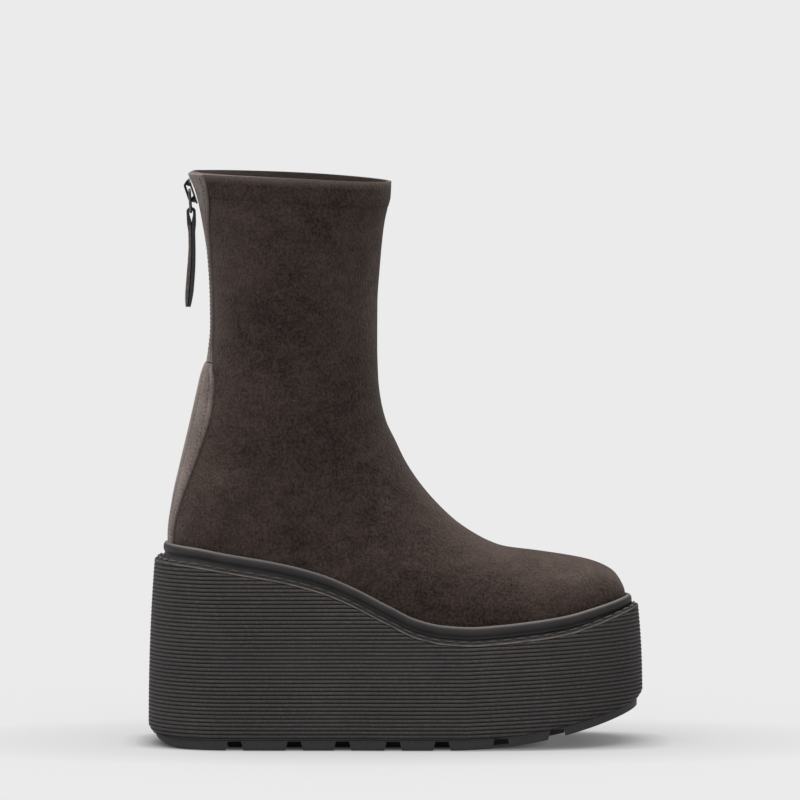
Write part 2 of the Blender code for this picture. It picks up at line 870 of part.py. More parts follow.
LINK_HALF = TAB_WIDTH / 2 + CLEARANCE + WIRE / 2
link_curve = bpy.data.curves.new("pull_link", "CURVE")
link_curve.dimensions = "3D"
link_curve.bevel_depth = WIRE / 2 * MM
link_curve.bevel_resolution = 2
spline = link_curve.splines.new("POLY")
corner = 1.6
link_points = []
for centre_y, centre_z, start in (
    (LINK_HALF - corner, -corner, 90),
    (LINK_HALF - corner, -LINK_LENGTH + WIRE + corner, 0),
    (-LINK_HALF + corner, -LINK_LENGTH + WIRE + corner, -90),
    (-LINK_HALF + corner, -corner, -180),
):
    for step in range(4):
        angle = math.radians(start - 30 * step)
        link_points.append((centre_y + corner * math.cos(angle), centre_z + corner * math.sin(angle)))
spline.points.add(len(link_points) - 1)
LINK_LEAN = 0.9 / 13.0
for point, (y, z) in zip(spline.points, link_points):
    point.co = (-LINK_LEAN * z * MM, y * MM, z * MM, 1.0)
spline.use_cyclic_u = True
link_guide = bpy.data.objects.new("pull_link_guide", link_curve)
cutters.objects.link(link_guide)
bpy.context.view_layer.update()
link_mesh = bpy.data.meshes.new_from_object(link_guide.evaluated_get(bpy.context.evaluated_depsgraph_get()))
bpy.data.objects.remove(link_guide)
shape = bmesh.new()
shape.from_mesh(link_mesh)
bmesh.ops.remove_doubles(shape, verts=shape.verts, dist=1e-6)
bmesh.ops.recalc_face_normals(shape, faces=shape.faces)
shape.to_mesh(link_mesh)
shape.free()
pull_link = add_mesh("pull_link", link_mesh, dark_metal, pull_axis)

# Tab: side view of the folded strip, hung on the lower bar of the link
BAR_Z = -LINK_LENGTH + WIRE
BAR_X = -LINK_LEAN * BAR_Z
EYE = WIRE / 2 + CLEARANCE
TAB = ("down", "middle", "half")
TAB_ROWS = (
    (0.055, 0.20, 0.62),
    (0.12, 0.30, 0.60),
    (0.22, 0.45, 0.46),
    (0.36, 0.55, 0.47),
    (0.50, 0.35, 0.52),
    (0.64, -0.10, 0.56),
    (0.80, -0.75, 0.56),
    (0.93, -1.35, 0.45),
    (0.985, -1.60, 0.33),
    (1.00, -1.68, 0.16),
)
outer_line = []
for step in range(0, 9):
    angle = math.radians(180 - 22.5 * step)
    lift = EYE + 1.5
    outer_line.append((BAR_X + lift * math.cos(angle), BAR_Z + lift * math.sin(angle)))
for down, middle, half_share in TAB_ROWS:
    outer_line.append((BAR_X + middle + TAB_THICK * half_share, BAR_Z - down * TAB_LENGTH))
for down, middle, half_share in reversed(TAB_ROWS):
    outer_line.append((BAR_X + middle - TAB_THICK * half_share, BAR_Z - down * TAB_LENGTH))
eye_line = []
for step in range(0, 7):
    angle = math.radians(180 - 30 * step)
    eye_line.append((BAR_X + EYE * math.cos(angle), BAR_Z + EYE * math.sin(angle)))
eye_line += [(BAR_X + 0.95 * EYE, BAR_Z - 2.2), (BAR_X + 0.45, BAR_Z - 4.6), (BAR_X - 0.35, BAR_Z - 2.2)]
tab_curve = bpy.data.curves.new("pull_tab", "CURVE")
tab_curve.dimensions = "2D"
tab_curve.fill_mode = "BOTH"
tab_curve.extrude = TAB_WIDTH / 2 * MM
for line in (outer_line, eye_line):
    spline = tab_curve.splines.new("POLY")
    spline.points.add(len(line) - 1)
    for point, (x, z) in zip(spline.points, line):
        point.co = (x * MM, z * MM, 0.0, 1.0)
    spline.use_cyclic_u = True
tab_guide = bpy.data.objects.new("pull_tab_guide", tab_curve)
cutters.objects.link(tab_guide)
bpy.context.view_layer.update()
tab_mesh = bpy.data.meshes.new_from_object(tab_guide.evaluated_get(bpy.context.evaluated_depsgraph_get()))
bpy.data.objects.remove(tab_guide)
shape = bmesh.new()
shape.from_mesh(tab_mesh)
bmesh.ops.remove_doubles(shape, verts=shape.verts, dist=1e-6)
for vert in shape.verts:
    vert.co = Vector((vert.co.x, -vert.co.z, vert.co.y))
bmesh.ops.recalc_face_normals(shape, faces=shape.faces)
shape.to_mesh(tab_mesh)
shape.free()
pull_tab = add_mesh("pull_tab", tab_mesh, pull_leather, pull_axis)

# Welt: rounded bead over a narrow foot, all the way round
welt_rings = [feather_ring(out, height) for out, height in WELT_ROWS]
welt = add_mesh("welt", ring_tube("welt", welt_rings), welt_rubber)

# Insole inside the wall of the upper
insole_out = -(WALL + 2 * CLEARANCE)
insole_rings = [
    feather_ring(insole_out, -(SEAT_DEPTH - CLEARANCE)),
    feather_ring(insole_out, -(SEAT_DEPTH - CLEARANCE) + 3.0),
]
insole = add_mesh("insole", ring_stack("insole", insole_rings), lining)

# Midsole: ribbed wall all round, cut to its shoulder above and to the outsole below
levels = int((PLATFORM_HEIGHT + HEEL_RISE + 4.0) / (RIB_PITCH / 2))
rib_rings = []
for level in range(2, levels + 1):
    rib_rings.append(midsole_ring(level * RIB_PITCH / 2, level % 2 == 0))
midsole = add_mesh("midsole", ring_stack("midsole", rib_rings), sole_foam)
seat_out = WELT_ROWS[1][0] + 0.2
envelope_rings = [
    feather_ring(18.0, -PLATFORM_HEIGHT - HEEL_RISE - 10.0),
    feather_ring(18.0, -SHOULDER_DROP - 6.0),
    feather_ring(lambda x: rim_out(x) + 1.5, -SHOULDER_DROP - 5.5),
    feather_ring(lambda x: rim_out(x) - 0.6, -SHOULDER_DROP + 2.2),
    feather_ring(lambda x: rim_out(x) - 2.2, -SEAT_DEPTH - 0.7),
    feather_ring(seat_out, -SEAT_DEPTH),
]
envelope = add_cutter("midsole_envelope", ring_stack("midsole_envelope", envelope_rings))
boolean(midsole, envelope, "INTERSECT")

profile_x = [SOLE_BACK + SOLE_LENGTH * step / 40 for step in range(-2, 43)]
spring_line = [(x, sole_floor(x)) for x in profile_x]
spring_line += [(profile_x[-1], -20.0), (profile_x[0], -20.0)]
spring_cutter = add_cutter("toe_spring_cutter", side_prism("toe_spring_cutter", spring_line, 90.0))
boolean(midsole, spring_cutter, "DIFFERENCE")
seam = midsole.modifiers.new("seam", "WELD")
seam.merge_threshold = 0.00002

# Outsole: the same joint line above, rolled heel and toe spring below, gaps cut in from both edges
outsole_rings = [outsole_ring(-5.0), outsole_ring(40.0)]
outsole = add_mesh("outsole", ring_stack("outsole", outsole_rings), tread_rubber)
outsole_line = [(x, sole_floor(x) - CLEARANCE) for x in profile_x]
outsole_line += [(x, lug_height(x)) for x in reversed(profile_x)]
outsole_profile = add_cutter("outsole_profile", side_prism("outsole_profile", outsole_line, 90.0))
boolean(outsole, outsole_profile, "INTERSECT")

for number, middle in enumerate(LUG_GAPS):
    x = SOLE_BACK + middle * SOLE_LENGTH
    floor = lug_height(x)
    top = floor + 0.82 * (sole_floor(x) - CLEARANCE - floor)
    for side, word in ((-1, "lateral"), (1, "medial")):
        reached = outline_point(0, 0.0)[0]
        best = 1e9
        for index in range(2 * STATIONS):
            point = Vector(bottom_ring[index])
            if (point.y - ridge(point.x)) * side > 0 and abs(point.x - x) < best:
                best = abs(point.x - x)
                reached = point
        edge_y = reached.y
        inner_y = edge_y - side * LUG_DEPTH
        outer_y = edge_y + side * 20.0
        corners = []
        for y in (inner_y, outer_y):
            corners += [
                (x - GAP_FLOOR / 2, y, floor - 6.0),
                (x + GAP_FLOOR / 2, y, floor - 6.0),
                (x + GAP_TOP / 2, y, top),
                (x - GAP_TOP / 2, y, top),
            ]
        faces = [(0, 1, 2, 3), (7, 6, 5, 4)] + [
            (index, (index + 1) % 4, 4 + (index + 1) % 4, 4 + index) for index in range(4)
        ]
        gap = f"lug_gap_{number}_{word}"
        boolean(outsole, add_cutter(gap, mesh_from(gap, corners, faces)), "DIFFERENCE")
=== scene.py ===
# %% [markdown]
# A platform ankle boot, dressed over its plain solids.
# The solids already give the sizes. This script loads them as a fixed frame, and then makes
# each piece again with the folds, edges, seams and finishes that a close look shows.
# All sizes are in millimetres in the boot's own frame, and one function turns them into metres.

import math

import bpy
import numpy as np
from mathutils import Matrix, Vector


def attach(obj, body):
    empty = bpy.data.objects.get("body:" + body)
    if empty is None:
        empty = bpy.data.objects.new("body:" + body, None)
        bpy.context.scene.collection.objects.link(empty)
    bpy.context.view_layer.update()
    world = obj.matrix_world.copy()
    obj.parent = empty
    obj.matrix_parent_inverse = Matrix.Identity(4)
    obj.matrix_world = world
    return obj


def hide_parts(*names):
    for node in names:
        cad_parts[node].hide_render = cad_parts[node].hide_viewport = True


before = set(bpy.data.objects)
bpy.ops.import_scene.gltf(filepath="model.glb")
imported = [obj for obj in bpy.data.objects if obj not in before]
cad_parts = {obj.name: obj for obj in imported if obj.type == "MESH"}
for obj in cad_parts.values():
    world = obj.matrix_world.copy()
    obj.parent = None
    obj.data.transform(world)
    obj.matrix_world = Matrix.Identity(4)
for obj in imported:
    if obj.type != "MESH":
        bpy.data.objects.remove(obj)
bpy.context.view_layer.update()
print("solids:", sorted(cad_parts))

# %% [markdown]
# The boot's frame has x from the back of the sole to the toe, -y on the outer side, and z up.
# The loaded solids are centred on the floor under the sole, so every point is moved by one step.

# %% Frame of the boot
MM = 0.001
CENTRE = np.array([133.5, 6.003, 0.0])


def metres(points):
    """Places in the boot's millimetres, as an array in the metres of the frame."""
    return (np.asarray(points, dtype=float) - CENTRE) * MM


# %% Sizes that the looks share with the solids
UPPER_LENGTH = 246.5
UPPER_BACK = 10.9
BALL_WIDTH = 82.0
TOE_DRIFT = 11.0
PLATFORM_HEIGHT = 65.8
HEEL_RISE = 42.8
BOOT_HEIGHT = 308.4
COLLAR_DROP = 4.9
ANKLE_HALF_WIDTH = 35.0
COLLAR_HALF_WIDTH = 39.0
HEEL_ROUND = 33.0
INSTEP_REACH = 62.0
TOE_ROUND = 55.0
WALL = 2.0
OVERLAY_GAP = 0.5
RIM_OUT_HEEL = 8.3
RIM_OUT_TOE = 7.0
WALL_FLARE = 2.5
SEAT_DEPTH = 5.0
SHOULDER_DROP = 9.3
RIB_PITCH = 2.12
RIB_RISE = 4.0
TOE_SPRING = 20.0
SPRING_START = 0.60
OUTSOLE_HEEL_THICK = 5.5
OUTSOLE_TOE_THICK = 4.0
END_INSET = 2.4
SIDE_INSET = 0.4
COUNTER_TOP = 206.0
ZIP_SLOT = 3.0
SOLE_BACK = UPPER_BACK - RIM_OUT_HEEL - WALL_FLARE
SOLE_TIP = UPPER_BACK + UPPER_LENGTH + RIM_OUT_TOE + WALL_FLARE
SOLE_LENGTH = SOLE_TIP - SOLE_BACK
UPPER_RISE = BOOT_HEIGHT - PLATFORM_HEIGHT
PIVOT_X = 0.75 * SOLE_LENGTH
PIVOT_Z = PLATFORM_HEIGHT + 0.553 * UPPER_RISE
print("sole length, mm:", round(SOLE_LENGTH, 1))

# %% [markdown]
# Four short tables hold the form of the last: the plan of the foot, the line of the back,
# the line of the front, and the width of the panel up the back.
# One function reads a smooth value out of any of them.

# %% Tables of the form
PLAN = ("station", "lateral", "medial", "ridge", "feather")
PLAN_ROWS = (
    (0.00, 0.402, 0.395, 0.00, 1.010),
    (0.06, 0.404, 0.396, 0.00, 0.985),
    (0.13, 0.408, 0.396, 0.00, 0.915),
    (0.24, 0.418, 0.350, 0.02, 0.805),
    (0.33, 0.421, 0.329, 0.05, 0.670),
    (0.40, 0.428, 0.341, 0.10, 0.505),
    (0.48, 0.454, 0.394, 0.21, 0.270),
    (0.54, 0.474, 0.432, 0.34, 0.100),
    (0.60, 0.492, 0.462, 0.48, 0.020),
    (0.66, 0.511, 0.484, 0.61, 0.000),
    (0.72, 0.514, 0.482, 0.71, 0.022),
    (0.79, 0.500, 0.462, 0.81, 0.064),
    (0.86, 0.482, 0.446, 0.89, 0.118),
    (0.93, 0.472, 0.450, 0.96, 0.212),
    (1.00, 0.460, 0.460, 1.00, 0.318),
)
BACK_ROWS = (
    (0.120, 0.0432),
    (0.191, 0.0415),
    (0.270, 0.0510),
    (0.359, 0.0700),
    (0.449, 0.0905),
    (0.537, 0.1095),
    (0.605, 0.1225),
    (0.660, 0.1270),
    (0.730, 0.1262),
    (0.818, 0.1212),
    (0.890, 0.1110),
    (0.937, 0.1028),
    (0.970, 0.0940),
    (1.000, 0.0815),
)
FRONT_ROWS = (
    (0.9635, 0.056),
    (0.9625, 0.067),
    (0.9570, 0.081),
    (0.9490, 0.096),
    (0.9370, 0.110),
    (0.9040, 0.128),
    (0.8695, 0.138),
    (0.7850, 0.153),
    (0.7180, 0.163),
    (0.6850, 0.176),
    (0.6480, 0.199),
    (0.6190, 0.222),
    (0.5770, 0.267),
    (0.5430, 0.313),
    (0.5165, 0.359),
    (0.4975, 0.404),
    (0.4780, 0.449),
    (0.4680, 0.494),
    (0.4620, 0.545),
    (0.4605, 0.615),
    (0.4610, 0.710),
    (0.4655, 0.785),
    (0.4735, 0.873),
    (0.4820, 0.917),
    (0.4865, 0.945),
    (0.4880, 0.980),
)
STRIP_ROWS = (
    (0.10, 13.0),
    (0.20, 14.5),
    (0.32, 18.5),
    (0.45, 21.0),
    (0.53, 19.0),
    (0.58, 13.0),
    (0.62, 9.5),
    (0.78, 9.5),
    (0.86, 12.5),
    (0.93, 18.0),
    (1.00, 22.0),
)

# %% Smooth values out of a table


def curve_value(rows, column, key):
    """Smooth value of one column of a table at a key in its first column, with no overshoot."""
    last = len(rows) - 1
    key = min(max(key, rows[0][0]), rows[last][0])
    low = 0
    while low < last - 1 and rows[low + 1][0] < key:
        low += 1

    def slope(index):
        if index <= 0 or index >= last:
            near = min(max(index, 1), last)
            return (rows[near][column] - rows[near - 1][column]) / (rows[near][0] - rows[near - 1][0])
        back = (rows[index][column] - rows[index - 1][column]) / (rows[index][0] - rows[index - 1][0])
        ahead = (rows[index + 1][column] - rows[index][column]) / (rows[index + 1][0] - rows[index][0])
        if back * ahead <= 0:
            return 0.0
        return 2 * back * ahead / (back + ahead)

    span = rows[low + 1][0] - rows[low][0]
    t = (key - rows[low][0]) / span
    start = rows[low][column]
    end = rows[low + 1][column]
    eased = start + (end - start) * t * t * (3 - 2 * t)
    return eased + span * (slope(low) * t * (1 - t) ** 2 - slope(low + 1) * t * t * (1 - t))


def smooth(value):
    value = min(max(value, 0.0), 1.0)
    return value * value * (3 - 2 * value)


def mix(a, b, share):
    return a + (b - a) * share


def dome(share, power):
    """Rounded end of a section: 0 at its tip, 1 from its reach on."""
    left = 1.0 - min(max(share, 0.0), 1.0)
    return (1.0 - left**power) ** (1.0 / power)


print("half width of the foot at the ball, mm:", round(BALL_WIDTH * curve_value(PLAN_ROWS, 1, 0.72), 1))

# %% [markdown]
# The foot and the shaft are one form. Near the sole its width comes from the plan of the foot,
# and higher up it turns gradually into the oval of the shaft.

# %% Form of the foot and shaft


def station(x):
    return (x - UPPER_BACK) / UPPER_LENGTH


def ridge(x):
    return TOE_DRIFT * curve_value(PLAN_ROWS, PLAN.index("ridge"), station(x))


def feather(x):
    """Height of the seam where the upper stands on the sole."""
    return PLATFORM_HEIGHT + HEEL_RISE * curve_value(PLAN_ROWS, PLAN.index("feather"), station(x))


def plan_width(x, side):
    column = PLAN.index("lateral" if side < 0 else "medial")
    width = BALL_WIDTH * curve_value(PLAN_ROWS, column, station(x))
    return width * dome((UPPER_BACK + UPPER_LENGTH - x) / TOE_ROUND, 2.0)


def back_x(z):
    return SOLE_LENGTH * curve_value(BACK_ROWS, 1, (z - PLATFORM_HEIGHT) / UPPER_RISE) + SOLE_BACK


HEEL_SHIFT = back_x(feather(UPPER_BACK)) - UPPER_BACK


def shaft_blend(x, z):
    low = feather(x) + 8.0
    high = PLATFORM_HEIGHT + 0.512 * UPPER_RISE
    return smooth((z - low) / (high - low))


def front_curve(count):
    """Points down the front of the upper, evenly spaced, from the toe to the collar."""
    points = [
        Vector((SOLE_BACK + forward * SOLE_LENGTH, PLATFORM_HEIGHT + height * UPPER_RISE))
        for forward, height in FRONT_ROWS
    ]
    points[0] = Vector((UPPER_BACK + UPPER_LENGTH, feather(UPPER_BACK + UPPER_LENGTH)))
    keys = [0.0]
    for first, second in zip(points, points[1:]):
        keys.append(keys[-1] + (second - first).length)
    rows = [(key, point.x, point.y) for key, point in zip(keys, points)]
    steps = [keys[-1] * step / count for step in range(count + 1)]
    return [(curve_value(rows, 1, key), curve_value(rows, 2, key)) for key in steps]


FRONT_LINE = front_curve(500)


def between(samples, key, value):
    """Point of a sampled line where key(point) reaches the value; the key grows along the line."""
    low = 0
    high = len(samples) - 1
    while high - low > 1:
        middle = (low + high) // 2
        if key(samples[middle]) < value:
            low = middle
        else:
            high = middle
    first, second = samples[low], samples[high]
    span = key(second) - key(first)
    share = min(max((value - key(first)) / span, 0.0), 1.0) if abs(span) > 1e-9 else 0.0
    return (mix(first[0], second[0], share), mix(first[1], second[1], share))


def front_at_height(z):
    return between(FRONT_LINE, lambda point: point[1], z)[0]


def back_half(x, z, side):
    """Half width of the upper, with the back rounded and the front left open."""
    blend = shaft_blend(x, z)
    share = (z - PIVOT_Z) / (BOOT_HEIGHT - PIVOT_Z)
    shaft = mix(ANKLE_HALF_WIDTH, COLLAR_HALF_WIDTH, smooth(share))
    base = mix(plan_width(x, side), shaft, blend)
    start = back_x(z) - HEEL_SHIFT * (1 - blend)
    half_depth = 0.5 * (front_at_height(max(z, PIVOT_Z)) - start)
    return base * dome((x - start) / mix(HEEL_ROUND, half_depth, blend), 2.1)


def back_start(z):
    """Furthest back point of the upper at this height."""
    return back_x(z) - HEEL_SHIFT * (1 - shaft_blend(back_x(z), z))


print("depth of the collar, mm:", round(front_at_height(BOOT_HEIGHT - COLLAR_DROP) - back_x(BOOT_HEIGHT), 1))

# %% [markdown]
# The camera comes first, so that every piece is judged from the angle that counts.
# It stands a good way off with a long lens, as for a catalogue picture: the side is seen almost
# square on, from slightly above the platform, and the horizon stays out of the frame.

# %% Camera
AIM = Vector((0.00177, -0.006, 0.18535))
bpy.ops.object.select_all(action="DESELECT")
bpy.ops.object.camera_add(location=(0.00177, -4.306, 0.500))
camera = bpy.context.object
camera.name = "side_camera"
camera.rotation_euler = (AIM - camera.location).to_track_quat("-Z", "Y").to_euler()
camera.data.sensor_width = 36.0
camera.data.lens = 359.3
camera.data.clip_end = 200.0
bpy.context.scene.camera = camera
print("camera looks down by", round(math.degrees(math.atan2(0.500 - 0.18535, 4.3)), 2), "degrees")

# %% [markdown]
# A pale sweep of paper under soft light has no falloff and no horizon. Area lamps would leave
# a bright patch on the paper, so the light comes from the sky and from three very wide suns,
# which are the same strength everywhere on the floor.

# %% Light and floor
scene = bpy.context.scene
scene.view_settings.view_transform = "Standard"
sky = bpy.data.worlds.new("studio_sky")
scene.world = sky
sky.use_nodes = True
sky.node_tree.nodes["Background"].inputs["Color"].default_value = (1.0, 1.0, 1.0, 1.0)
sky.node_tree.nodes["Background"].inputs["Strength"].default_value = 0.27
SUNS = (
    ("overhead_softbox", (4, -8, 0), 5.60, 70),
    ("left_softbox", (56, 0, -50), 0.34, 50),
    ("right_softbox", (54, 0, 44), 0.34, 50),
)
for name, turn, strength, spread in SUNS:
    bpy.ops.object.light_add(type="SUN", rotation=[math.radians(value) for value in turn])
    lamp = bpy.context.object
    lamp.name = name
    lamp.data.energy = strength
    lamp.data.angle = math.radians(spread)
bpy.ops.object.select_all(action="DESELECT")
bpy.ops.mesh.primitive_plane_add(size=90.0, location=(0.0, 20.0, -0.0004))
bpy.ops.object.transform_apply(location=True, rotation=False, scale=False)
floor = bpy.context.object
floor.name = "paper_floor"
print("lamps:", len(SUNS))

# %% [markdown]
# Finishes are written as short sums. One class holds a socket, so that two patterns can be
# added or multiplied as if they were numbers, and one class holds a material and adds any node.
# The forms that start with r let a plain number stand first, as in 1 - mask.

# %% A socket that can be added and multiplied


class Wire:
    """An output of a node in a material, for use in sums."""

    def __init__(self, tree, socket):
        self.tree = tree
        self.socket = socket

    def joined(self, operation, *values):
        node = self.tree.nodes.new("ShaderNodeMath")
        node.operation = operation
        for place, value in zip(node.inputs, values):
            if isinstance(value, Wire):
                self.tree.links.new(value.socket, place)
            else:
                place.default_value = value
        return Wire(self.tree, node.outputs[0])

    def __add__(self, other):
        return self.joined("ADD", self, other)

    __radd__ = __add__

    def __mul__(self, other):
        return self.joined("MULTIPLY", self, other)

    __rmul__ = __mul__

    def __sub__(self, other):
        return self.joined("SUBTRACT", self, other)

    def __rsub__(self, other):
        return self.joined("SUBTRACT", other, self)

    def __pow__(self, other):
        return self.joined("POWER", self, other)

    def above(self, low, high):
        """0 under low, 1 over high, and a straight rise between."""
        return self.joined("MINIMUM", self.joined("MAXIMUM", (self - low) * (1 / (high - low)), 0.0), 1.0)


# %% A material and its nodes


class Finish:
    """A material: its nodes, its shader, and one method that adds any node."""

    def __init__(self, name, constants):
        self.material = bpy.data.materials.new(name)
        self.material.use_nodes = True
        self.tree = self.material.node_tree
        self.shader = self.tree.nodes["Principled BSDF"]
        for socket, value in constants.items():
            self.shader.inputs[socket].default_value = value
        self.place = self.node("ShaderNodeTexCoord", out="Object")

    def node(self, kind, settings=None, values=None, out=0):
        node = self.tree.nodes.new(kind)
        for key, value in (settings or {}).items():
            setattr(node, key, value)
        for key, value in (values or {}).items():
            if isinstance(value, Wire):
                self.tree.links.new(value.socket, node.inputs[key])
            else:
                node.inputs[key].default_value = value
        return Wire(self.tree, node.outputs[out])

    def noise(self, scale, detail=3.0, rough=0.6, place=None):
        values = {"Vector": place or self.place, "Scale": scale, "Detail": detail, "Roughness": rough}
        return self.node("ShaderNodeTexNoise", None, values)

    def stretched(self, stretch, turn=(0.0, 0.0, 0.0)):
        turned = tuple(math.radians(value) for value in turn)
        values = {"Vector": self.place, "Rotation": turned, "Scale": stretch}
        return self.node("ShaderNodeMapping", None, values)

    def cells(self, scale):
        return self.node("ShaderNodeTexVoronoi", {"feature": "F1"}, {"Vector": self.place, "Scale": scale})

    def tone(self, share, dark, light):
        colours = {0: share, 6: (*dark, 1.0), 7: light if isinstance(light, Wire) else (*light, 1.0)}
        return self.node("ShaderNodeMix", {"data_type": "RGBA"}, colours, out=2)

    def over(self, share, under, top):
        colours = {0: share, 6: under, 7: (*top, 1.0)}
        return self.node("ShaderNodeMix", {"data_type": "RGBA"}, colours, out=2)

    def attribute(self, name):
        return self.node("ShaderNodeAttribute", {"attribute_name": name}, None, out="Fac")

    def bump(self, height, depth, under=None):
        values = {"Height": height, "Distance": depth, "Strength": 1.0}
        if under:
            values["Normal"] = under
        return self.node("ShaderNodeBump", None, values)

    def feed(self, **sockets):
        for socket, wire in sockets.items():
            self.tree.links.new(wire.socket, self.shader.inputs[socket.replace("_", " ")])
        return self.material


# %% [markdown]
# The paper of the floor is a plain pale grey with the faintest cloud, so that it isn't one flat tone.
# It glows a little, a painted light, and the glow is cut under the sole and close to it,
# so that a painted shadow there is soft and still dark at the tread.

# %% Paper floor
# Strength of the paper's painted glow.
PAINTED_PAPER_GLOW = 0.507
paper = Finish("pale_paper", {"Roughness": 0.9, "Specular IOR Level": 0.0, "Emission Strength": PAINTED_PAPER_GLOW})
paper_x = paper.node("ShaderNodeSeparateXYZ", None, {0: paper.place}, out=0)
paper_y = paper.node("ShaderNodeSeparateXYZ", None, {0: paper.place}, out=1)


def oblong(middle, half, power, low, high):
    """0 inside a rounded oblong on the paper, sizes in metres, and 1 well away from it."""
    along = (paper_x - middle) * (1 / half[0])
    return (along**power + (paper_y * (1 / half[1])) ** power).above(low, high)


# Painted shadow: the glow is cut widely round the boot, under the sole and at the contact.
wide_shade = 0.78 + oblong(0.0, (0.150, 0.062), 2.0, 0.3, 3.8) * 0.22
sole_shade = 0.34 + oblong(0.0, (0.131, 0.0445), 4.0, 0.3, 1.7) * 0.66
contact_shade = 0.20 + oblong(-0.03, (0.105, 0.0445), 4.0, 0.6, 1.3) * 0.80
painted_shadow_share = wide_shade * sole_shade * contact_shade
painted_glow_tone = paper.tone(painted_shadow_share, (0.0, 0.0, 0.0), (1.0, 1.0, 1.0))
paper_tone = paper.tone(paper.noise(3.0, 2.0), (0.148, 0.148, 0.148), (0.152, 0.152, 0.152))
floor.data.materials.append(paper.feed(Base_Color=paper_tone, Emission_Color=painted_glow_tone))

# %% [markdown]
# Suede is leather with a brushed nap. Light catches the fibres where they lie across it, so the
# surface shows soft clouds about as wide as a thumb, finer streaks inside them, and a grain of
# single fibres. Four sizes of noise make the colour, the two finest ones also make the bump,
# and a sheen gives the pale edge where the nap is seen from the side. Where the surface faces
# up, a painted top light makes it paler, and in the bend of the ankle a painted shade makes it darker.

# %% Suede
SUEDE_DARK = (0.0080, 0.0048, 0.0040)
SUEDE_LIGHT = (0.056, 0.0385, 0.0325)
suede = Finish(
    "suede",
    {
        "Roughness": 0.95,
        "Specular IOR Level": 0.12,
        "Sheen Weight": 0.15,
        "Sheen Roughness": 0.55,
        "Sheen Tint": (0.60, 0.52, 0.48, 1.0),
    },
)
nap_cloud = suede.noise(21.0, 3.0, 0.55)
nap_patch = suede.noise(95.0, 4.0, 0.6, suede.stretched((1.0, 1.0, 1.6), (0, 25, 0)))
nap_grain = suede.noise(760.0, 2.0, 0.6)
nap_fibre = suede.noise(420.0, 2.0, 0.6, suede.stretched((2.6, 2.6, 0.8), (0, 20, 0)))
nap_wide = nap_cloud.above(0.38, 0.62) * 0.26 + nap_patch.above(0.38, 0.62) * 0.22
nap_fine = nap_grain.above(0.42, 0.58) * 0.36 + nap_fibre.above(0.39, 0.61) * 0.22
# The nap's tones, plus a painted top light where the surface faces up and a painted shade in the bend of the
# ankle.
nap_with_painted_light = suede.tone(nap_wide + nap_fine + suede.attribute("painted_top_light_and_ankle_shade") * 0.28 - 0.11, SUEDE_DARK, SUEDE_LIGHT)
scuff_mask = suede.attribute("scuff") * suede.noise(420.0, 3.0, 0.7).above(0.42, 0.66)
scuffed = suede.over(scuff_mask * 0.35, nap_with_painted_light, (0.12, 0.095, 0.082))
# Scuffs are real wear. The paler collar rim is a painted highlight.
scuffed_and_highlit_suede = suede.over(suede.attribute("painted_edge_highlight") * 0.55, scuffed, (0.17, 0.135, 0.118))
suede_bump = suede.bump(nap_grain * 0.7 + nap_fibre * 0.5, 0.0008)
suede_material = suede.feed(Base_Color=scuffed_and_highlit_suede, Normal=suede_bump)
print("suede nodes:", len(suede.tree.nodes))

# %% [markdown]
# The panel up the back is a smooth, slightly cracked leather in grey-brown. Fine cells give the
# grain of the skin, and a wide noise the uneven dye. A paler band at the collar is a painted
# highlight, and a dark band along the outer edges is a painted shade where the leather meets the suede.

# %% Taupe leather
taupe = Finish(
    "taupe_leather",
    {
        "Roughness": 0.5,
        "Specular IOR Level": 0.45,
        "Sheen Weight": 0.10,
        "Sheen Tint": (0.8, 0.72, 0.68, 1.0),
    },
)
dye_cloud = taupe.noise(60.0, 4.0, 0.6)
dye_fleck = taupe.noise(700.0, 3.0, 0.7)
skin_cells = taupe.cells(900.0)
dye_share = dye_cloud.above(0.3, 0.7) * 0.5 + dye_fleck.above(0.36, 0.64) * 0.5
taupe_colour = taupe.tone(dye_share, (0.050, 0.034, 0.029), (0.200, 0.156, 0.138))
# Painted highlight at the strips' top edge, by the collar.
taupe_with_edge_highlight = taupe.over(taupe.attribute("painted_edge_highlight") * 0.35, taupe_colour, (0.28, 0.23, 0.21))
# Painted shade along the outer edge of the panel and strips. The 'seam' attribute holds this painted shade.
taupe_with_highlight_and_shade = taupe.over(taupe.attribute("seam") * 0.65, taupe_with_edge_highlight, (0.014, 0.010, 0.009))
taupe_rough = 0.42 + dye_fleck * 0.25
taupe_bump = taupe.bump(skin_cells * 0.6 + dye_fleck * 0.6, 0.00018)
taupe_material = taupe.feed(Base_Color=taupe_with_highlight_and_shade, Roughness=taupe_rough, Normal=taupe_bump)
print("taupe leather nodes:", len(taupe.tree.nodes))

# %% [markdown]
# The platform is a moulded foam rubber: nearly black, a touch brown, matt, with light flecks on
# the crests of the ribs, painted shade in the grooves and in the channel under the welt, and a thin
# brown line painted as a highlight. The welt is the same rubber with a smoother skin and a painted
# highlight on its top edge, and the tread a blacker, harder one.

# %% Rubbers
foam = Finish("sole_foam", {"Specular IOR Level": 0.30})
foam_fleck = foam.noise(900.0, 3.0, 0.7)
foam_cloud = foam.noise(35.0, 3.0, 0.6)
foam_share = (foam_fleck * 0.5 + foam_cloud * 0.5).above(0.3, 0.7)
foam_tone = foam.tone(foam_share, (0.0205, 0.0168, 0.0170), (0.0360, 0.0305, 0.0310))
# Painted shade in the grooves between ribs and in the channel under the welt.
foam_with_groove_shade = foam.over(foam.attribute("groove_shade") * 0.85, foam_tone, (0.006, 0.0052, 0.005))
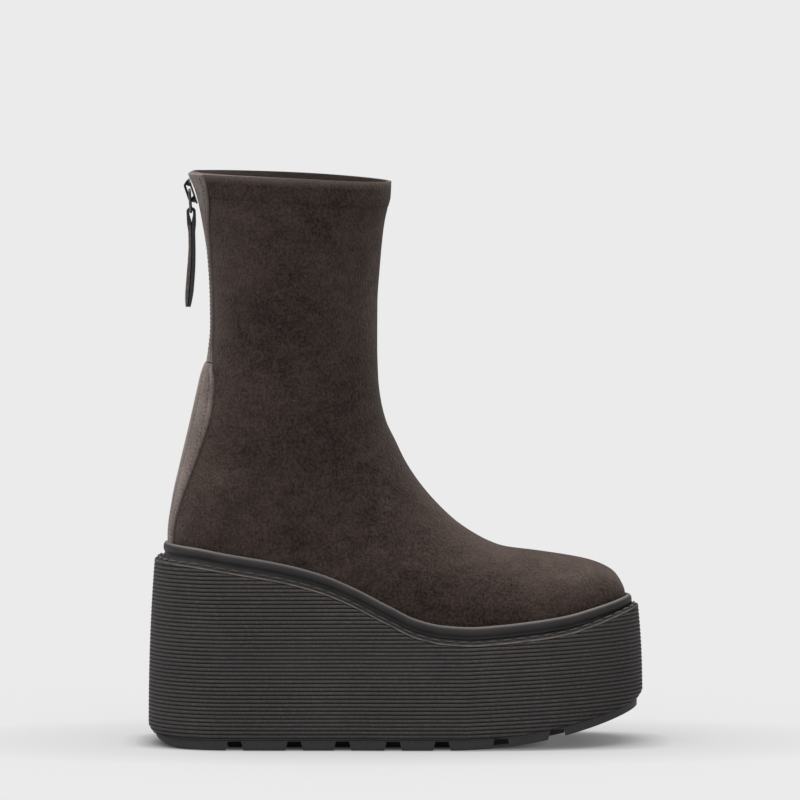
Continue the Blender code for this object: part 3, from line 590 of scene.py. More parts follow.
# Painted highlight: the thin brown line on the shoulder's lip, held in the attribute named line.
lip_highlight_share = foam.attribute("line") * foam.noise(160.0, 2.0).above(0.30, 0.60)
foam_with_lip_highlight = foam.over(lip_highlight_share, foam_with_groove_shade, (0.120, 0.088, 0.066))
# Light flecks on the crests of the ribs.
crest_fleck_share = foam.attribute("rib_crest") * foam_fleck.above(0.45, 0.75) * 0.5
foam_with_light_crests = foam.over(crest_fleck_share, foam_with_lip_highlight, (0.16, 0.14, 0.13))
foam_material = foam.feed(
    Base_Color=foam_with_light_crests,
    Roughness=0.48 + foam_fleck * 0.25 + foam.attribute("groove_shade") * 0.2,
    Normal=foam.bump(foam_fleck, 0.00012),
)
rubber = Finish("welt_rubber", {"Specular IOR Level": 0.25})
rubber_fleck = rubber.noise(800.0, 3.0, 0.7)
rubber_share = rubber.noise(50.0, 3.0).above(0.3, 0.7)
rubber_tone = rubber.tone(rubber_share, (0.0160, 0.0140, 0.0138), (0.0260, 0.0232, 0.0228))
# Painted highlight along the welt's top edge.
welt_tone_with_highlight = rubber.over(rubber.attribute("painted_edge_highlight") * 0.6, rubber_tone, (0.17, 0.15, 0.14))
welt_material = rubber.feed(
    Base_Color=welt_tone_with_highlight,
    Roughness=0.44 + rubber_fleck * 0.25,
    Normal=rubber.bump(rubber_fleck, 0.0001),
)
tread = Finish("tread_rubber", {"Roughness": 0.6, "Specular IOR Level": 0.45})
tread_fleck = tread.noise(700.0, 4.0, 0.7)
tread_tone = tread.tone(tread_fleck.above(0.35, 0.7), (0.010, 0.0095, 0.009), (0.021, 0.0195, 0.019))
tread_material = tread.feed(
    Base_Color=tread_tone,
    Roughness=0.45 + tread_fleck * 0.3,
    Normal=tread.bump(tread_fleck, 0.00015),
)

# %% [markdown]
# Smaller finishes: a smooth lining leather, a woven tape, nylon for the coil, thread, black
# lacquered metal, bare metal for the link, and for the pull a black leather with a lighter copy, a painted
# sheen for its outer face.

# %% Small finishes
lining = Finish("lining_leather", {"Roughness": 0.7, "Specular IOR Level": 0.3})
lining_grain = lining.cells(700.0)
lining_share = lining.noise(40.0, 3.0).above(0.3, 0.7)
lining_tone = lining.tone(lining_share, (0.030, 0.022, 0.019), (0.052, 0.040, 0.034))
lining_material = lining.feed(Base_Color=lining_tone, Normal=lining.bump(lining_grain, 0.00015))


def woven(name, dark, light):
    finish = Finish(name, {"Roughness": 0.85, "Specular IOR Level": 0.2})
    yarns = []
    for direction, scale in (("Z", 260.0), ("Y", 420.0)):
        values = {"Vector": finish.place, "Scale": scale}
        yarns.append(finish.node("ShaderNodeTexWave", {"bands_direction": direction}, values))
    weave = yarns[0] * 0.6 + yarns[1] * 0.5
    tone = finish.tone((weave + finish.noise(900.0) * 0.5).above(0.3, 1.2), dark, light)
    return finish.feed(Base_Color=tone, Normal=finish.bump(weave, 0.00012))


tape_material = woven("zip_tape", (0.006, 0.0055, 0.0055), (0.020, 0.018, 0.018))


def plain_finish(name, constants, tones, scale, depth, rough):
    """Two tones of one colour in a fine fleck, with a matching bump and an uneven gloss."""
    finish = Finish(name, constants)
    fleck = finish.noise(scale, 3.0, 0.65)
    tone = finish.tone(fleck.above(0.35, 0.68), *tones)
    return finish.feed(Base_Color=tone, Roughness=rough + fleck * 0.2, Normal=finish.bump(fleck, depth))


COIL_TONES = ((0.008, 0.008, 0.008), (0.016, 0.015, 0.015))
DARK_THREAD_TONES = ((0.010, 0.008, 0.007), (0.026, 0.020, 0.018))
HEM_THREAD_TONES = ((0.011, 0.0075, 0.0065), (0.030, 0.021, 0.018))
BLACK_METAL_TONES = ((0.010, 0.010, 0.011), (0.022, 0.022, 0.024))
LINK_METAL_TONES = ((0.10, 0.10, 0.105), (0.20, 0.20, 0.21))
PULL_TONES = ((0.008, 0.0075, 0.0075), (0.017, 0.016, 0.015))
PULL_SHEEN_TONES = ((0.050, 0.042, 0.037), (0.105, 0.090, 0.080))
LACQUER = {"Metallic": 1.0, "Coat Weight": 0.3}
coil_material = plain_finish("coil_nylon", {}, COIL_TONES, 900.0, 0.00002, 0.28)
dark_thread = plain_finish("dark_thread", {"Sheen Weight": 0.2}, DARK_THREAD_TONES, 2500.0, 0.0001, 0.7)
hem_finish = plain_finish("suede_thread", {"Specular IOR Level": 0.1}, HEM_THREAD_TONES, 2500.0, 0.0001, 0.7)
black_metal = plain_finish("black_metal", LACQUER, BLACK_METAL_TONES, 500.0, 0.00003, 0.22)
bare_metal = plain_finish("link_metal", {"Metallic": 1.0}, LINK_METAL_TONES, 700.0, 0.00003, 0.25)
pull_black = plain_finish("pull_leather", {}, PULL_TONES, 800.0, 0.00012, 0.42)
pull_painted_sheen = plain_finish("pull_leather_painted_sheen", {}, PULL_SHEEN_TONES, 600.0, 0.00014, 0.5)
print("materials:", len(bpy.data.materials))

# %% [markdown]
# Many pieces here are skins over a curved form. Each starts as a grid, as wide and as fine as
# the piece needs, and its points are laid on the form row by row, which is what a last does to
# leather. The helpers below do the steps that such a piece always needs in edit mode.

# %% Helpers for skins


def grid_piece(name, rows):
    """A grid primitive whose points lie at these rows of places, in millimetres."""
    places = np.asarray(rows, dtype=float)
    down, across = places.shape[:2]
    bpy.ops.object.select_all(action="DESELECT")
    bpy.ops.mesh.primitive_grid_add(x_subdivisions=across - 1, y_subdivisions=down - 1, size=0.1)
    piece = bpy.context.object
    piece.name = name
    piece.data.name = name
    piece.data.vertices.foreach_set("co", metres(places.reshape(-1, 3)).ravel())
    piece.data.update()
    return piece


def pick(*pieces):
    """Selects these pieces alone, with the first as the active one."""
    bpy.ops.object.select_all(action="DESELECT")
    for piece in pieces:
        piece.select_set(True)
    bpy.context.view_layer.objects.active = pieces[0]


def edit(piece, *steps):
    """Each step is a function called in edit mode with everything selected."""
    pick(piece)
    bpy.ops.object.mode_set(mode="EDIT")
    for step in steps:
        bpy.ops.mesh.select_all(action="SELECT")
        step()
    bpy.ops.object.mode_set(mode="OBJECT")


def merge():
    bpy.ops.mesh.remove_doubles(threshold=0.000002)


def turn_out():
    bpy.ops.mesh.normals_make_consistent(inside=False)


def flip():
    bpy.ops.mesh.flip_normals()


def apply_all(piece):
    pick(piece)
    for modifier in list(piece.modifiers):
        bpy.ops.object.modifier_apply(modifier=modifier.name)


def mark(piece, name, values):
    """One number for each point of the piece, for its material to read."""
    made = piece.data.attributes.new(name, "FLOAT", "POINT")
    made.data.foreach_set("value", np.asarray(values, dtype=np.float32).ravel())


def finish_piece(piece, body, materials, nodes=(), angle=40.0):
    """Materials, smooth shading, body and solid of a finished piece."""
    for material in materials:
        piece.data.materials.append(material)
    pick(piece)
    bpy.ops.object.shade_smooth_by_angle(angle=math.radians(angle))
    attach(piece, body)
    if nodes:
        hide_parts(*nodes)
    piece.data.calc_loop_triangles()
    print(piece.name, "triangles:", len(piece.data.loop_triangles))


INSIDE = (80.0, 0.0, 180.0)


def row_normals(places, inner):
    """Unit normals of a grid of places, turned away from a point inside the form."""
    down = np.gradient(places, axis=0)
    across = np.gradient(places, axis=1)
    normal = np.cross(down, across)
    normal /= np.maximum(np.linalg.norm(normal, axis=2, keepdims=True), 1e-9)
    middle = places[places.shape[0] // 2, places.shape[1] // 2]
    if np.dot(normal[places.shape[0] // 2, places.shape[1] // 2], middle - np.asarray(inner)) < 0:
        normal = -normal
    return normal


# %% [markdown]
# The upper is one soft wall. Its sections stand upright across the toes, lean back through the
# instep like the leaves of a fan, and lie flat up the shaft. A fan keeps the rows square to the
# front of the ankle, where a stack of level slices would crowd together.

# %% Sections of the upper
FOOT_ROWS = 72
FAN_ROWS = 24
SHAFT_ROWS = 44
HALF_STEPS = 54


def fan_angle(point):
    return -math.atan2(PIVOT_Z - point[1], PIVOT_X - point[0])


def fan_reach(angle):
    """How far the front of a section is rounded, by the angle of its plane above the level."""
    shaft = 0.5 * (front_at_height(PIVOT_Z) - back_x(PIVOT_Z))
    vamp = between(FRONT_LINE, lambda point: point[0] * -1, -PIVOT_X)[1] - feather(PIVOT_X)
    if angle < 35.0:
        return mix(shaft, INSTEP_REACH, smooth(angle / 35.0))
    return mix(INSTEP_REACH, vamp, smooth((angle - 35.0) / 55.0))


def section_point(section, t, side):
    low, high, reach, power = section
    x = mix(low[0], high[0], t)
    z = mix(low[1], high[1], t)
    length = math.hypot(high[0] - low[0], high[1] - low[1])
    cap = dome((1 - t) * length / reach, power)
    return (x, ridge(x) + side * back_half(x, z, side) * cap, z)


def foot_section(x):
    low = (x, feather(x))
    if x >= PIVOT_X:
        high = between(FRONT_LINE, lambda point: -point[0], -x)
        return (low, high, high[1] - low[1], 2.25)
    high = between(FRONT_LINE, fan_angle, fan_angle(low))
    angle = math.degrees(-fan_angle(low))
    return (low, high, fan_reach(angle), mix(2.1, 2.25, smooth((angle - 50.0) / 40.0)))


def fan_sections():
    heel = fan_angle((UPPER_BACK, feather(UPPER_BACK)))
    z_low = feather(UPPER_BACK)
    line = []
    for step in range(400):
        z = mix(z_low, PIVOT_Z, step / 399)
        line.append((back_start(z), z))
    found = []
    for step in range(1, FAN_ROWS):
        angle = mix(heel, 0.0, step / FAN_ROWS)
        low = between(line, fan_angle, angle)
        high = between(FRONT_LINE, fan_angle, angle)
        found.append((low, high, fan_reach(math.degrees(-angle)), 2.1))
    return found


def shaft_section(share):
    z_back = mix(PIVOT_Z, BOOT_HEIGHT, share)
    z_front = mix(PIVOT_Z, BOOT_HEIGHT - COLLAR_DROP, share)
    low = (back_x(z_back), z_back)
    high = (front_at_height(z_front), z_front)
    return (low, high, 0.5 * (high[0] - low[0]), 2.1)


standing = []
for step in range(1, FOOT_ROWS + 1):
    x = UPPER_BACK + UPPER_LENGTH / 2 * (1 + math.cos(math.pi * step / FOOT_ROWS))
    standing.append(foot_section(x))
sections = standing + fan_sections()
sections += [shaft_section(step / SHAFT_ROWS) for step in range(SHAFT_ROWS + 1)]
print("sections of the upper:", len(sections))

# %% [markdown]
# Above the heel panel the wall is slit for the zip. Each row there simply starts a little
# further round, where the wall is three millimetres from the middle, so the slit needs no cutter.

# %% Rows of points round the upper


def slit_start(section, side):
    """Share along a section where the wall reaches the edge of the slit."""
    if section[0][1] < COUNTER_TOP + 2:
        return 0.0
    low, high = 0.0, 0.3
    for _ in range(24):
        middle = (low + high) / 2
        point = section_point(section, middle, side)
        if abs(point[1] - ridge(point[0])) < ZIP_SLOT:
            low = middle
        else:
            high = middle
    return high


def round_row(section):
    row = []
    for side in (-1, 1):
        start = slit_start(section, side)
        half = []
        for step in range(HALF_STEPS + 1):
            t = mix(start, 1.0, (1 - math.cos(math.pi * step / HALF_STEPS)) / 2)
            half.append(section_point(section, t, side))
        row = half if side < 0 else row + half[::-1][1:]
    return row


skin = np.array([round_row(section) for section in sections])
print("points on the upper:", skin.shape[0] * skin.shape[1])

# %% [markdown]
# Real suede isn't drum tight. A few soft hollows and rolls, placed where a foot bends the boot,
# break the even light: across the front of the ankle, behind the ball, and round the heel.
# Each row of the table is one of them, on one side or on both.

# %% Creases and hollows
# x, z, turn in degrees, length, width, depth, and side: -1 outer, 1 inner, 0 both
CREASE_ROWS = (
    (112.0, 176.0, -28.0, 34.0, 5.0, 0.55, 0),
    (106.0, 190.0, -18.0, 30.0, 6.0, 0.45, 0),
    (124.0, 160.0, -38.0, 32.0, 6.0, 0.45, 0),
    (92.0, 152.0, 22.0, 30.0, 9.0, 0.50, -1),
    (70.0, 172.0, 64.0, 34.0, 9.0, 0.40, -1),
    (150.0, 112.0, -52.0, 26.0, 8.0, 0.50, -1),
    (176.0, 92.0, -62.0, 20.0, 7.0, 0.35, -1),
    (60.0, 128.0, -34.0, 28.0, 9.0, 0.40, -1),
    (98.0, 226.0, 82.0, 42.0, 10.0, 0.45, -1),
    (64.0, 244.0, 78.0, 40.0, 11.0, -0.35, -1),
    (84.0, 268.0, 12.0, 30.0, 7.0, 0.30, -1),
    (220.0, 88.0, 12.0, 22.0, 8.0, 0.30, -1),
    (96.0, 158.0, 28.0, 32.0, 9.0, 0.45, 1),
    (150.0, 112.0, -50.0, 28.0, 8.0, 0.50, 1),
    (74.0, 226.0, 80.0, 40.0, 11.0, 0.40, 1),
    (66.0, 140.0, -38.0, 28.0, 8.0, 0.35, 1),
)
BACK_PART = 60.0
HEM_DEPTH = 13.0
middle_y = np.array([[ridge(point[0]) for point in row] for row in skin])
across_y = skin[:, :, 1] - middle_y
depth = np.zeros(skin.shape[:2])
for x, z, turn, length, width, deep, side in CREASE_ROWS:
    away_x = skin[:, :, 0] - x
    away_z = skin[:, :, 2] - z
    cosine, sine = math.cos(math.radians(turn)), math.sin(math.radians(turn))
    along = (away_x * cosine + away_z * sine) / length
    over = (away_z * cosine - away_x * sine) / width
    shape = np.exp(-0.5 * along**2) * (np.exp(-0.5 * over**2) - 0.45 * np.exp(-0.5 * (over / 2) ** 2))
    on_side = 1.0 if side == 0 else 1 / (1 + np.exp(-side * across_y / 3.0))
    depth -= deep * shape * on_side
seam_height = np.array([[feather(point[0]) for point in row] for row in skin])
clear_of_sole = np.clip((skin[:, :, 2] - seam_height) / 12.0, 0, 1)
clear_of_back = np.clip((np.abs(across_y) - 4.0) / 10.0, 0, 1)
clear_of_back = np.where(skin[:, :, 0] < BACK_PART, clear_of_back, 1.0)
depth *= clear_of_sole * clear_of_back
print("deepest hollow, mm:", round(float(-depth.min()), 2))

# %% [markdown]
# The collar is turned in and sewn down. The turned edge makes the wall a little thicker for
# thirteen millimetres, and the thread pulls a narrow groove along its lower end. The collar
# itself isn't ruler straight: the side bows up by about a millimetre.

# %% Hem of the collar


def collar_height(x):
    """Height of the collar's edge, which falls gently to the front."""
    return BOOT_HEIGHT - COLLAR_DROP * smooth((x - 20) / 110)


collar_line = np.array([[collar_height(point[0]) for point in row] for row in skin])
under_collar = collar_line - skin[:, :, 2]
hem_roll = 0.35 * np.clip((HEM_DEPTH - under_collar) / 2.0, 0, 1)
hem_groove = -0.34 * np.exp(-0.5 * ((under_collar - HEM_DEPTH) / 0.7) ** 2)
hem_groove += -0.30 * np.exp(-0.5 * ((under_collar - HEM_DEPTH - 5.0) / 3.5) ** 2)
off_strip = np.clip((np.abs(across_y) - 12.0) / 6.0, 0, 1)
off_strip = np.where(skin[:, :, 0] < BACK_PART, off_strip, 1.0)
top_rows = skin[:, :, 2] > PIVOT_Z
depth += np.where(top_rows, (hem_roll + hem_groove) * off_strip, 0.0)
normals = row_normals(skin, INSIDE)
skin = skin + normals * depth[:, :, None]
lift = np.clip((under_collar < 60) * (1 - under_collar / 60), 0, 1) ** 2
skin[:, :, 2] += 0.9 * lift * np.sin(np.pi * np.clip((skin[:, :, 0] - 22) / 108, 0, 1))
print("rows in the hem:", int((under_collar[:, HALF_STEPS] < HEM_DEPTH).sum()))

# %% [markdown]
# The grid gets one more row below the seam, hidden by the welt, so that no gap opens under the
# edge. Then the wall is given its thickness inwards and its rims are rounded.

# %% Build the upper
foot = skin[: len(standing)]
hidden = foot[:, [0, -1]].copy()
hidden[:, :, 2] -= 4.4
tip_x = UPPER_BACK + UPPER_LENGTH
tip = np.array([tip_x, ridge(tip_x), feather(tip_x)])
upper_rows = np.concatenate([np.repeat(tip[None, None], skin.shape[1], axis=1), skin])
columns = upper_rows.shape[1]
wide = np.zeros((upper_rows.shape[0], columns + 2, 3))
wide[:, 1:-1] = upper_rows
wide[0, [0, -1]] = tip - [0, 0, 4.4]
wide[1 : len(standing) + 1, 0] = hidden[:, 0]
wide[1 : len(standing) + 1, -1] = hidden[:, 1]
wide[len(standing) + 1 :, 0] = wide[len(standing) + 1 :, 1]
wide[len(standing) + 1 :, -1] = wide[len(standing) + 1 :, -2]
upper = grid_piece("upper_suede", wide)
scuffs = np.zeros(wide.shape[:2])
# x, z, length, width
SCUFF_ROWS = (
    (129.0, 106.0, 9.0, 1.2),
    (132.0, 100.5, 7.0, 0.9),
    (129.0, 131.0, 5.0, 2.0),
    (43.0, 146.0, 11.0, 3.0),
    (75.0, 218.0, 4.0, 1.5),
    (231.0, 92.0, 12.0, 2.5),
    (120.0, 240.0, 2.0, 16.0),
)
for x, z, length, width in SCUFF_ROWS:
    scuffs += np.exp(-0.5 * ((wide[:, :, 0] - x) / length) ** 2 - 0.5 * ((wide[:, :, 2] - z) / width) ** 2)
scuffs *= wide[:, :, 1] < 5
mark(upper, "scuff", np.clip(scuffs, 0, 1))
# Painted highlight along the top rows, at the collar's rim.
near_rim = np.zeros(wide.shape[:2])
near_rim[-1] = 1.0
near_rim[-2] = 0.35
mark(upper, "painted_edge_highlight", near_rim)
# Painted top light where the upper faces up, less a painted shade in the bend of the ankle.
facing_up = np.clip(row_normals(wide, INSIDE)[:, :, 2], 0, 1)
ankle_shade = np.exp(-(((wide[:, :, 0] - 106) / 42) ** 2) - ((wide[:, :, 2] - 168) / 36) ** 2)
mark(upper, "painted_top_light_and_ankle_shade", facing_up - 0.55 * ankle_shade)
edit(upper, merge)
bpy.ops.object.mode_set(mode="OBJECT")
front_face = max(upper.data.polygons, key=lambda face: face.center.x)
if front_face.normal.x < 0:
    edit(upper, flip)
upper.data.materials.append(suede_material)
upper.data.materials.append(lining_material)
wall = upper.modifiers.new("wall", "SOLIDIFY")
wall.thickness = WALL * MM
wall.offset = -1.0
wall.material_offset = 1
rims = upper.modifiers.new("rims", "BEVEL")
rims.width = 0.75 * MM
rims.segments = 3
rims.limit_method = "ANGLE"
rims.angle_limit = math.radians(55)
apply_all(upper)
finish_piece(upper, "boot", [], ["upper"], 50.0)
print("faces of lining inside the upper:", sum(face.material_index == 1 for face in upper.data.polygons))

# %% [markdown]
# Sewn and moulded pieces round the sole all follow one line: the seam where the upper stands on
# it. A point of that line, and the direction straight out from it, place every ring below.

# %% Rings round the sole
ROUND = 300
TOE_LIFT = 3.8
HEEL_SWELL = 0.4


def feather_point(turn):
    x = UPPER_BACK + UPPER_LENGTH / 2 * (1 + math.cos(turn))
    side = 1 if math.sin(turn) >= 0 else -1
    width = plan_width(x, side) * dome((x - UPPER_BACK) / HEEL_ROUND, 2.1)
    return Vector((x, ridge(x) + side * width))


def tread_height(x):
    share = max(((x - SOLE_BACK) / SOLE_LENGTH - SPRING_START) / (1 - SPRING_START), 0.0)
    heel = max(1 - (x - SOLE_BACK - 2.0) / 17.0, 0.0)
    return TOE_SPRING * share**2 + 4.6 * heel**2.4


def floor_height(x):
    share = max(((x - SOLE_BACK) / SOLE_LENGTH - SPRING_START) / (1 - SPRING_START), 0.0)
    return TOE_SPRING * share**2 + mix(OUTSOLE_HEEL_THICK, OUTSOLE_TOE_THICK, share**2)


class Post:
    """One of the places round the sole: its point on the seam, the way out, and its heights."""

    def __init__(self, turn):
        point = feather_point(turn)
        ahead = feather_point(turn + 0.02) - feather_point(turn - 0.02)
        self.out = Vector((ahead.y, -ahead.x)).normalized()
        self.at = point
        self.seam = feather(point.x)
        self.rim = mix(RIM_OUT_HEEL, RIM_OUT_TOE, min(max(station(point.x), 0.0), 1.0))
        self.inset = SIDE_INSET + END_INSET * abs(self.out.x) ** 3
        edge = point.x + self.out.x * (self.rim + WALL_FLARE - self.inset)
        self.floor = floor_height(edge)
        self.tread = tread_height(edge)
        self.swell = 1 + HEEL_SWELL * max(-self.out.x, 0.0)
        self.toe_lift = TOE_LIFT * smooth((self.out.x - 0.25) / 0.75)
        self.rib = RIB_RISE * max((point.x - 0.64 * SOLE_LENGTH) / (0.36 * SOLE_LENGTH), 0.0)

    def place(self, out, height):
        return (self.at.x + self.out.x * out, self.at.y + self.out.y * out, height)


def spokes(edge, shares):
    """Rows that carry an edge straight across to the middle line, where its two sides meet."""
    middles = []
    for index, point in enumerate(edge):
        across = edge[-index]
        x = (point[0] + across[0]) / 2
        middles.append((x, ridge(x), (point[2] + across[2]) / 2))
    rows = []
    for share in shares:
        rows.append([tuple(mix(a, b, share) for a, b in zip(*pair)) for pair in zip(middles, edge)])
    return rows


posts = [Post(2 * math.pi * index / ROUND) for index in range(ROUND)]
girth = sum((posts[i].at - posts[i - 1].at).length for i in range(ROUND))
print("length of the seam round the sole, mm:", round(girth))

# %% [markdown]
# The platform's wall carries fine level ribs, all alike, and the slope of the shoulder simply
# cuts them off. So the rows of points follow the ribs, six to a rib, and every row that would
# rise over the shoulder is laid on its edge. Above it come a thin brown line, a painted highlight
# on the shoulder's lip, and a rough channel that runs in under the welt, darkened with painted
# shade like the grooves between the ribs.

# %% Wall of the platform
RIB_SHAPE = ((0.0, -0.62), (0.09, -0.34), (0.24, -0.06), (0.50, 0.04), (0.76, -0.06), (0.91, -0.34))
BAND_LOW = -10.2
# out from the wall, height above the seam, share of the brown line painted as highlight, share of the painted
# shade in the groove
SHOULDER_ROWS = (
    (-0.42, -10.20, 0.0, 0.9),
    (-0.08, -10.02, 0.1, 0.2),
    (-0.02, -9.84, 1.0, 0.0),
    (-0.10, -9.58, 1.0, 0.0),
    (-0.30, -9.30, 0.1, 0.4),
    (-0.62, -9.05, 0.0, 0.8),
    (-1.10, -8.75, 0.0, 1.0),
    (-1.60, -8.60, 0.0, 1.0),
    (-2.40, -8.50, 0.0, 1.0),
    (-3.20, -8.30, 0.0, 1.0),
    (-4.10, -7.80, 0.0, 1.0),
    (-5.20, -6.60, 0.0, 1.0),
)


def wall_out(post, z):
    top = post.seam - SHOULDER_DROP + post.toe_lift
    share = 1 - (1 - min(max((top - z) / (top - post.floor), 0.0), 1.0)) ** 2.2
    tuck = min(max(1 - (z - post.floor) / 5.0, 0.0), 1.0)
    return post.rim + WALL_FLARE * post.swell * share - post.inset * tuck**1.6


def shoulder_height(post, height):
    """Height of a row of the shoulder, which stands higher and flatter round the tip of the toe."""
    return post.seam + height + post.toe_lift * min(max((-height - 5.0) / 4.3, 0.0), 1.0)


levels = int((PLATFORM_HEIGHT + HEEL_RISE + 4.0) / RIB_PITCH)
wall_rows = []
groove_shade_rows = []
lip_highlight_rows = []
rib_crest_rows = []
# Painted shade fills the grooves and the rows that are cut off at the floor and the shoulder.
for level in range(1, levels + 1):
    for phase, relief in RIB_SHAPE:
        row, groove_shade = [], []
        for post in posts:
            wanted = (level + phase) * RIB_PITCH + post.rib
            z = min(max(wanted, post.floor), shoulder_height(post, BAND_LOW))
            cut = 1.0 if z != wanted else 0.0
            out = wall_out(post, z) + (relief if not cut else -0.5)
            row.append(post.place(out, z))
            groove_shade.append(max(-relief / 0.62, cut))
        wall_rows.append(row)
        groove_shade_rows.append(groove_shade)
        lip_highlight_rows.append([0.0] * ROUND)
        rib_crest_rows.append([1.0 if relief > 0 else 0.0] * ROUND)
for out, height, line, groove_shade in SHOULDER_ROWS:
    heights = [shoulder_height(post, height) for post in posts]
    wall_rows.append([post.place(wall_out(post, z) + out, z) for post, z in zip(posts, heights)])
    groove_shade_rows.append([groove_shade] * ROUND)
    lip_highlight_rows.append([line] * ROUND)
    rib_crest_rows.append([0.0] * ROUND)
wall_rows.append([post.place(1.0, post.seam - SEAT_DEPTH) for post in posts])
for rows in (groove_shade_rows, lip_highlight_rows, rib_crest_rows):
    rows.append([0.0] * ROUND)
print("rows up the platform:", len(wall_rows))

# %% Close the platform
bottom = [post.place(wall_out(post, post.floor) - 0.5, post.floor) for post in posts]
all_rows = spokes(bottom, (0.0, 0.2, 0.6, 0.985)) + wall_rows + spokes(wall_rows[-1], (0.985, 0.6, 0.2, 0.0))
closed_rows = [row + [row[0]] for row in all_rows]
platform = grid_piece("platform_ribbed", closed_rows)
for name, rows in (("groove_shade", groove_shade_rows), ("line", lip_highlight_rows), ("rib_crest", rib_crest_rows)):
    whole = [[0.0] * ROUND] * 4 + rows + [[0.0] * ROUND] * 4
    mark(platform, name, [row + [row[0]] for row in whole])
edit(platform, merge, turn_out)
finish_piece(platform, "boot", [foam_material], ["midsole"], 60.0)

# %% [markdown]
# The welt is a rubber bead that hides the seam. Its section is a rounded lip over a narrow foot,
# carried round the sole. Its pale top edge is a painted highlight.

# %% Welt
# out from the seam, height above it, share of the painted highlight on the edge
WELT_ROWS = (
    (0.25, -0.75, 0.0),
    (0.55, -0.25, 0.1),
    (1.05, -0.02, 0.5),
    (1.65, 0.02, 1.0),
    (2.20, -0.15, 1.0),
    (2.75, -0.55, 0.5),
    (3.15, -1.20, 0.0),
    (3.42, -2.10, 0.0),
    (3.50, -3.10, 0.0),
    (3.40, -4.00, 0.0),
    (3.12, -4.75, 0.0),
    (2.80, -5.35, 0.0),
    (2.70, -5.80, 0.0),
    (2.90, -6.50, 0.0),
    (0.30, -6.60, 0.0),
)
section = [[post.place(out, post.seam + height) for post in posts] for out, height, highlight_share in WELT_ROWS]
section.append(section[0])
welt = grid_piece("welt_bead", [row + [row[0]] for row in section])
highlight_share = [[highlight_share] * (ROUND + 1) for out, height, highlight_share in WELT_ROWS]
mark(welt, "painted_edge_highlight", highlight_share + [highlight_share[0]])
edit(welt, merge, turn_out)
finish_piece(welt, "boot", [welt_material], ["welt"], 60.0)

# %% [markdown]
# Thread is real geometry here: one stitch is modelled, copied along a line, turned to the
# surface under it, and the copies are joined. Seen close by, stitches cast their own shadows,
# which a painted line can't do.

# %% One stitch, copied along a seam


def matrix_of(place, along, out):
    """Turns a piece modelled along x, with z up, to lie along a seam and stand off its surface."""
    along = Vector(along).normalized()
    out = Vector(out)
    out = (out - along * out.dot(along)).normalized()
    side = out.cross(along)
    turned = np.eye(4)
    turned[:3, 0] = along
    turned[:3, 1] = side
    turned[:3, 2] = out
    turned[:3, 3] = place
    return turned


def copies_of(model, name, turns):
    """Copies of a modelled piece, each with its own mesh, joined into one."""
    made = []
    for turned in turns:
        copy = model.copy()
        copy.data = model.data.copy()
        points = np.empty(len(copy.data.vertices) * 3)
        copy.data.vertices.foreach_get("co", points)
        points = points.reshape(-1, 3) @ turned[:3, :3].T + turned[:3, 3]
        copy.data.vertices.foreach_set("co", points.ravel())
        bpy.context.scene.collection.objects.link(copy)
        made.append(copy)
    bpy.data.objects.remove(model)
    pick(*made)
    bpy.ops.object.join()
    piece = bpy.context.object
    piece.name = name
    piece.data.name = name
    return piece


def stitch_model(length, thick):
    """One stitch, drawn into the surface at both ends, in metres at the origin."""
    bpy.ops.object.select_all(action="DESELECT")
    bpy.ops.mesh.primitive_uv_sphere_add(segments=6, ring_count=5, radius=0.5, rotation=(0, math.pi / 2, 0))
    stitch = bpy.context.object
    bpy.ops.object.transform_apply(location=False, rotation=True, scale=False)
    stitch.scale = (length * MM, thick * MM, 0.8 * thick * MM)
    bpy.ops.object.transform_apply(location=False, rotation=False, scale=True)
    return stitch


def spaced(path, outs, pitch):
    """Evenly spaced places along a line of points in millimetres, with direction and way out."""
    path = np.asarray(path, dtype=float)
    outs = np.asarray(outs, dtype=float)
    steps = np.r_[0, np.cumsum(np.linalg.norm(np.diff(path, axis=0), axis=1))]
    count = max(int(steps[-1] / pitch), 1)
    keys = (np.arange(count) + 0.5) * steps[-1] / count
    spots = np.stack([np.interp(keys, steps, path[:, axis]) for axis in range(3)], axis=1)
    ahead = np.stack([np.interp(keys + 0.4, steps, path[:, axis]) for axis in range(3)], axis=1)
    behind = np.stack([np.interp(keys - 0.4, steps, path[:, axis]) for axis in range(3)], axis=1)
    faces = np.stack([np.interp(keys, steps, outs[:, axis]) for axis in range(3)], axis=1)
    return spots, ahead - behind, faces


def sew(name, lines, pitch, length, thick, material, lift=0.0):
    """A row of stitches along each line of (points, ways out)."""
    turns = []
    for path, outs in lines:
        spots, alongs, faces = spaced(path, outs, pitch)
        for spot, along, face in zip(spots, alongs, faces):
            face = face / np.linalg.norm(face)
            turns.append(matrix_of(metres(spot + face * lift), along, face))
    thread = copies_of(stitch_model(length, thick), name, turns)
    finish_piece(thread, "boot", [material], (), 80.0)
    print(name, "stitches:", len(turns))


# %% [markdown]
# The heavy welt thread shows as dark dashes, about eight millimetres apart, sunk in the channel
# of the platform's shoulder.

# %% Welt thread
thread_heights = [shoulder_height(post, -8.40) for post in posts]
welt_path = [post.place(wall_out(post, z) - 1.9, z + 0.35) for post, z in zip(posts, thread_heights)]
welt_outs = [(post.out.x, post.out.y, 1.1) for post in posts]
welt_line = (welt_path + welt_path[:1], welt_outs + welt_outs[:1])
sew("welt_thread", [welt_line], 7.6, 6.0, 1.3, dark_thread)

# %% [markdown]
# The back panel lies on the upper's own surface, so its points are found on that surface: at a
# height and a distance from the middle, a short search gives how far forward the wall is.

# %% Surface of the back


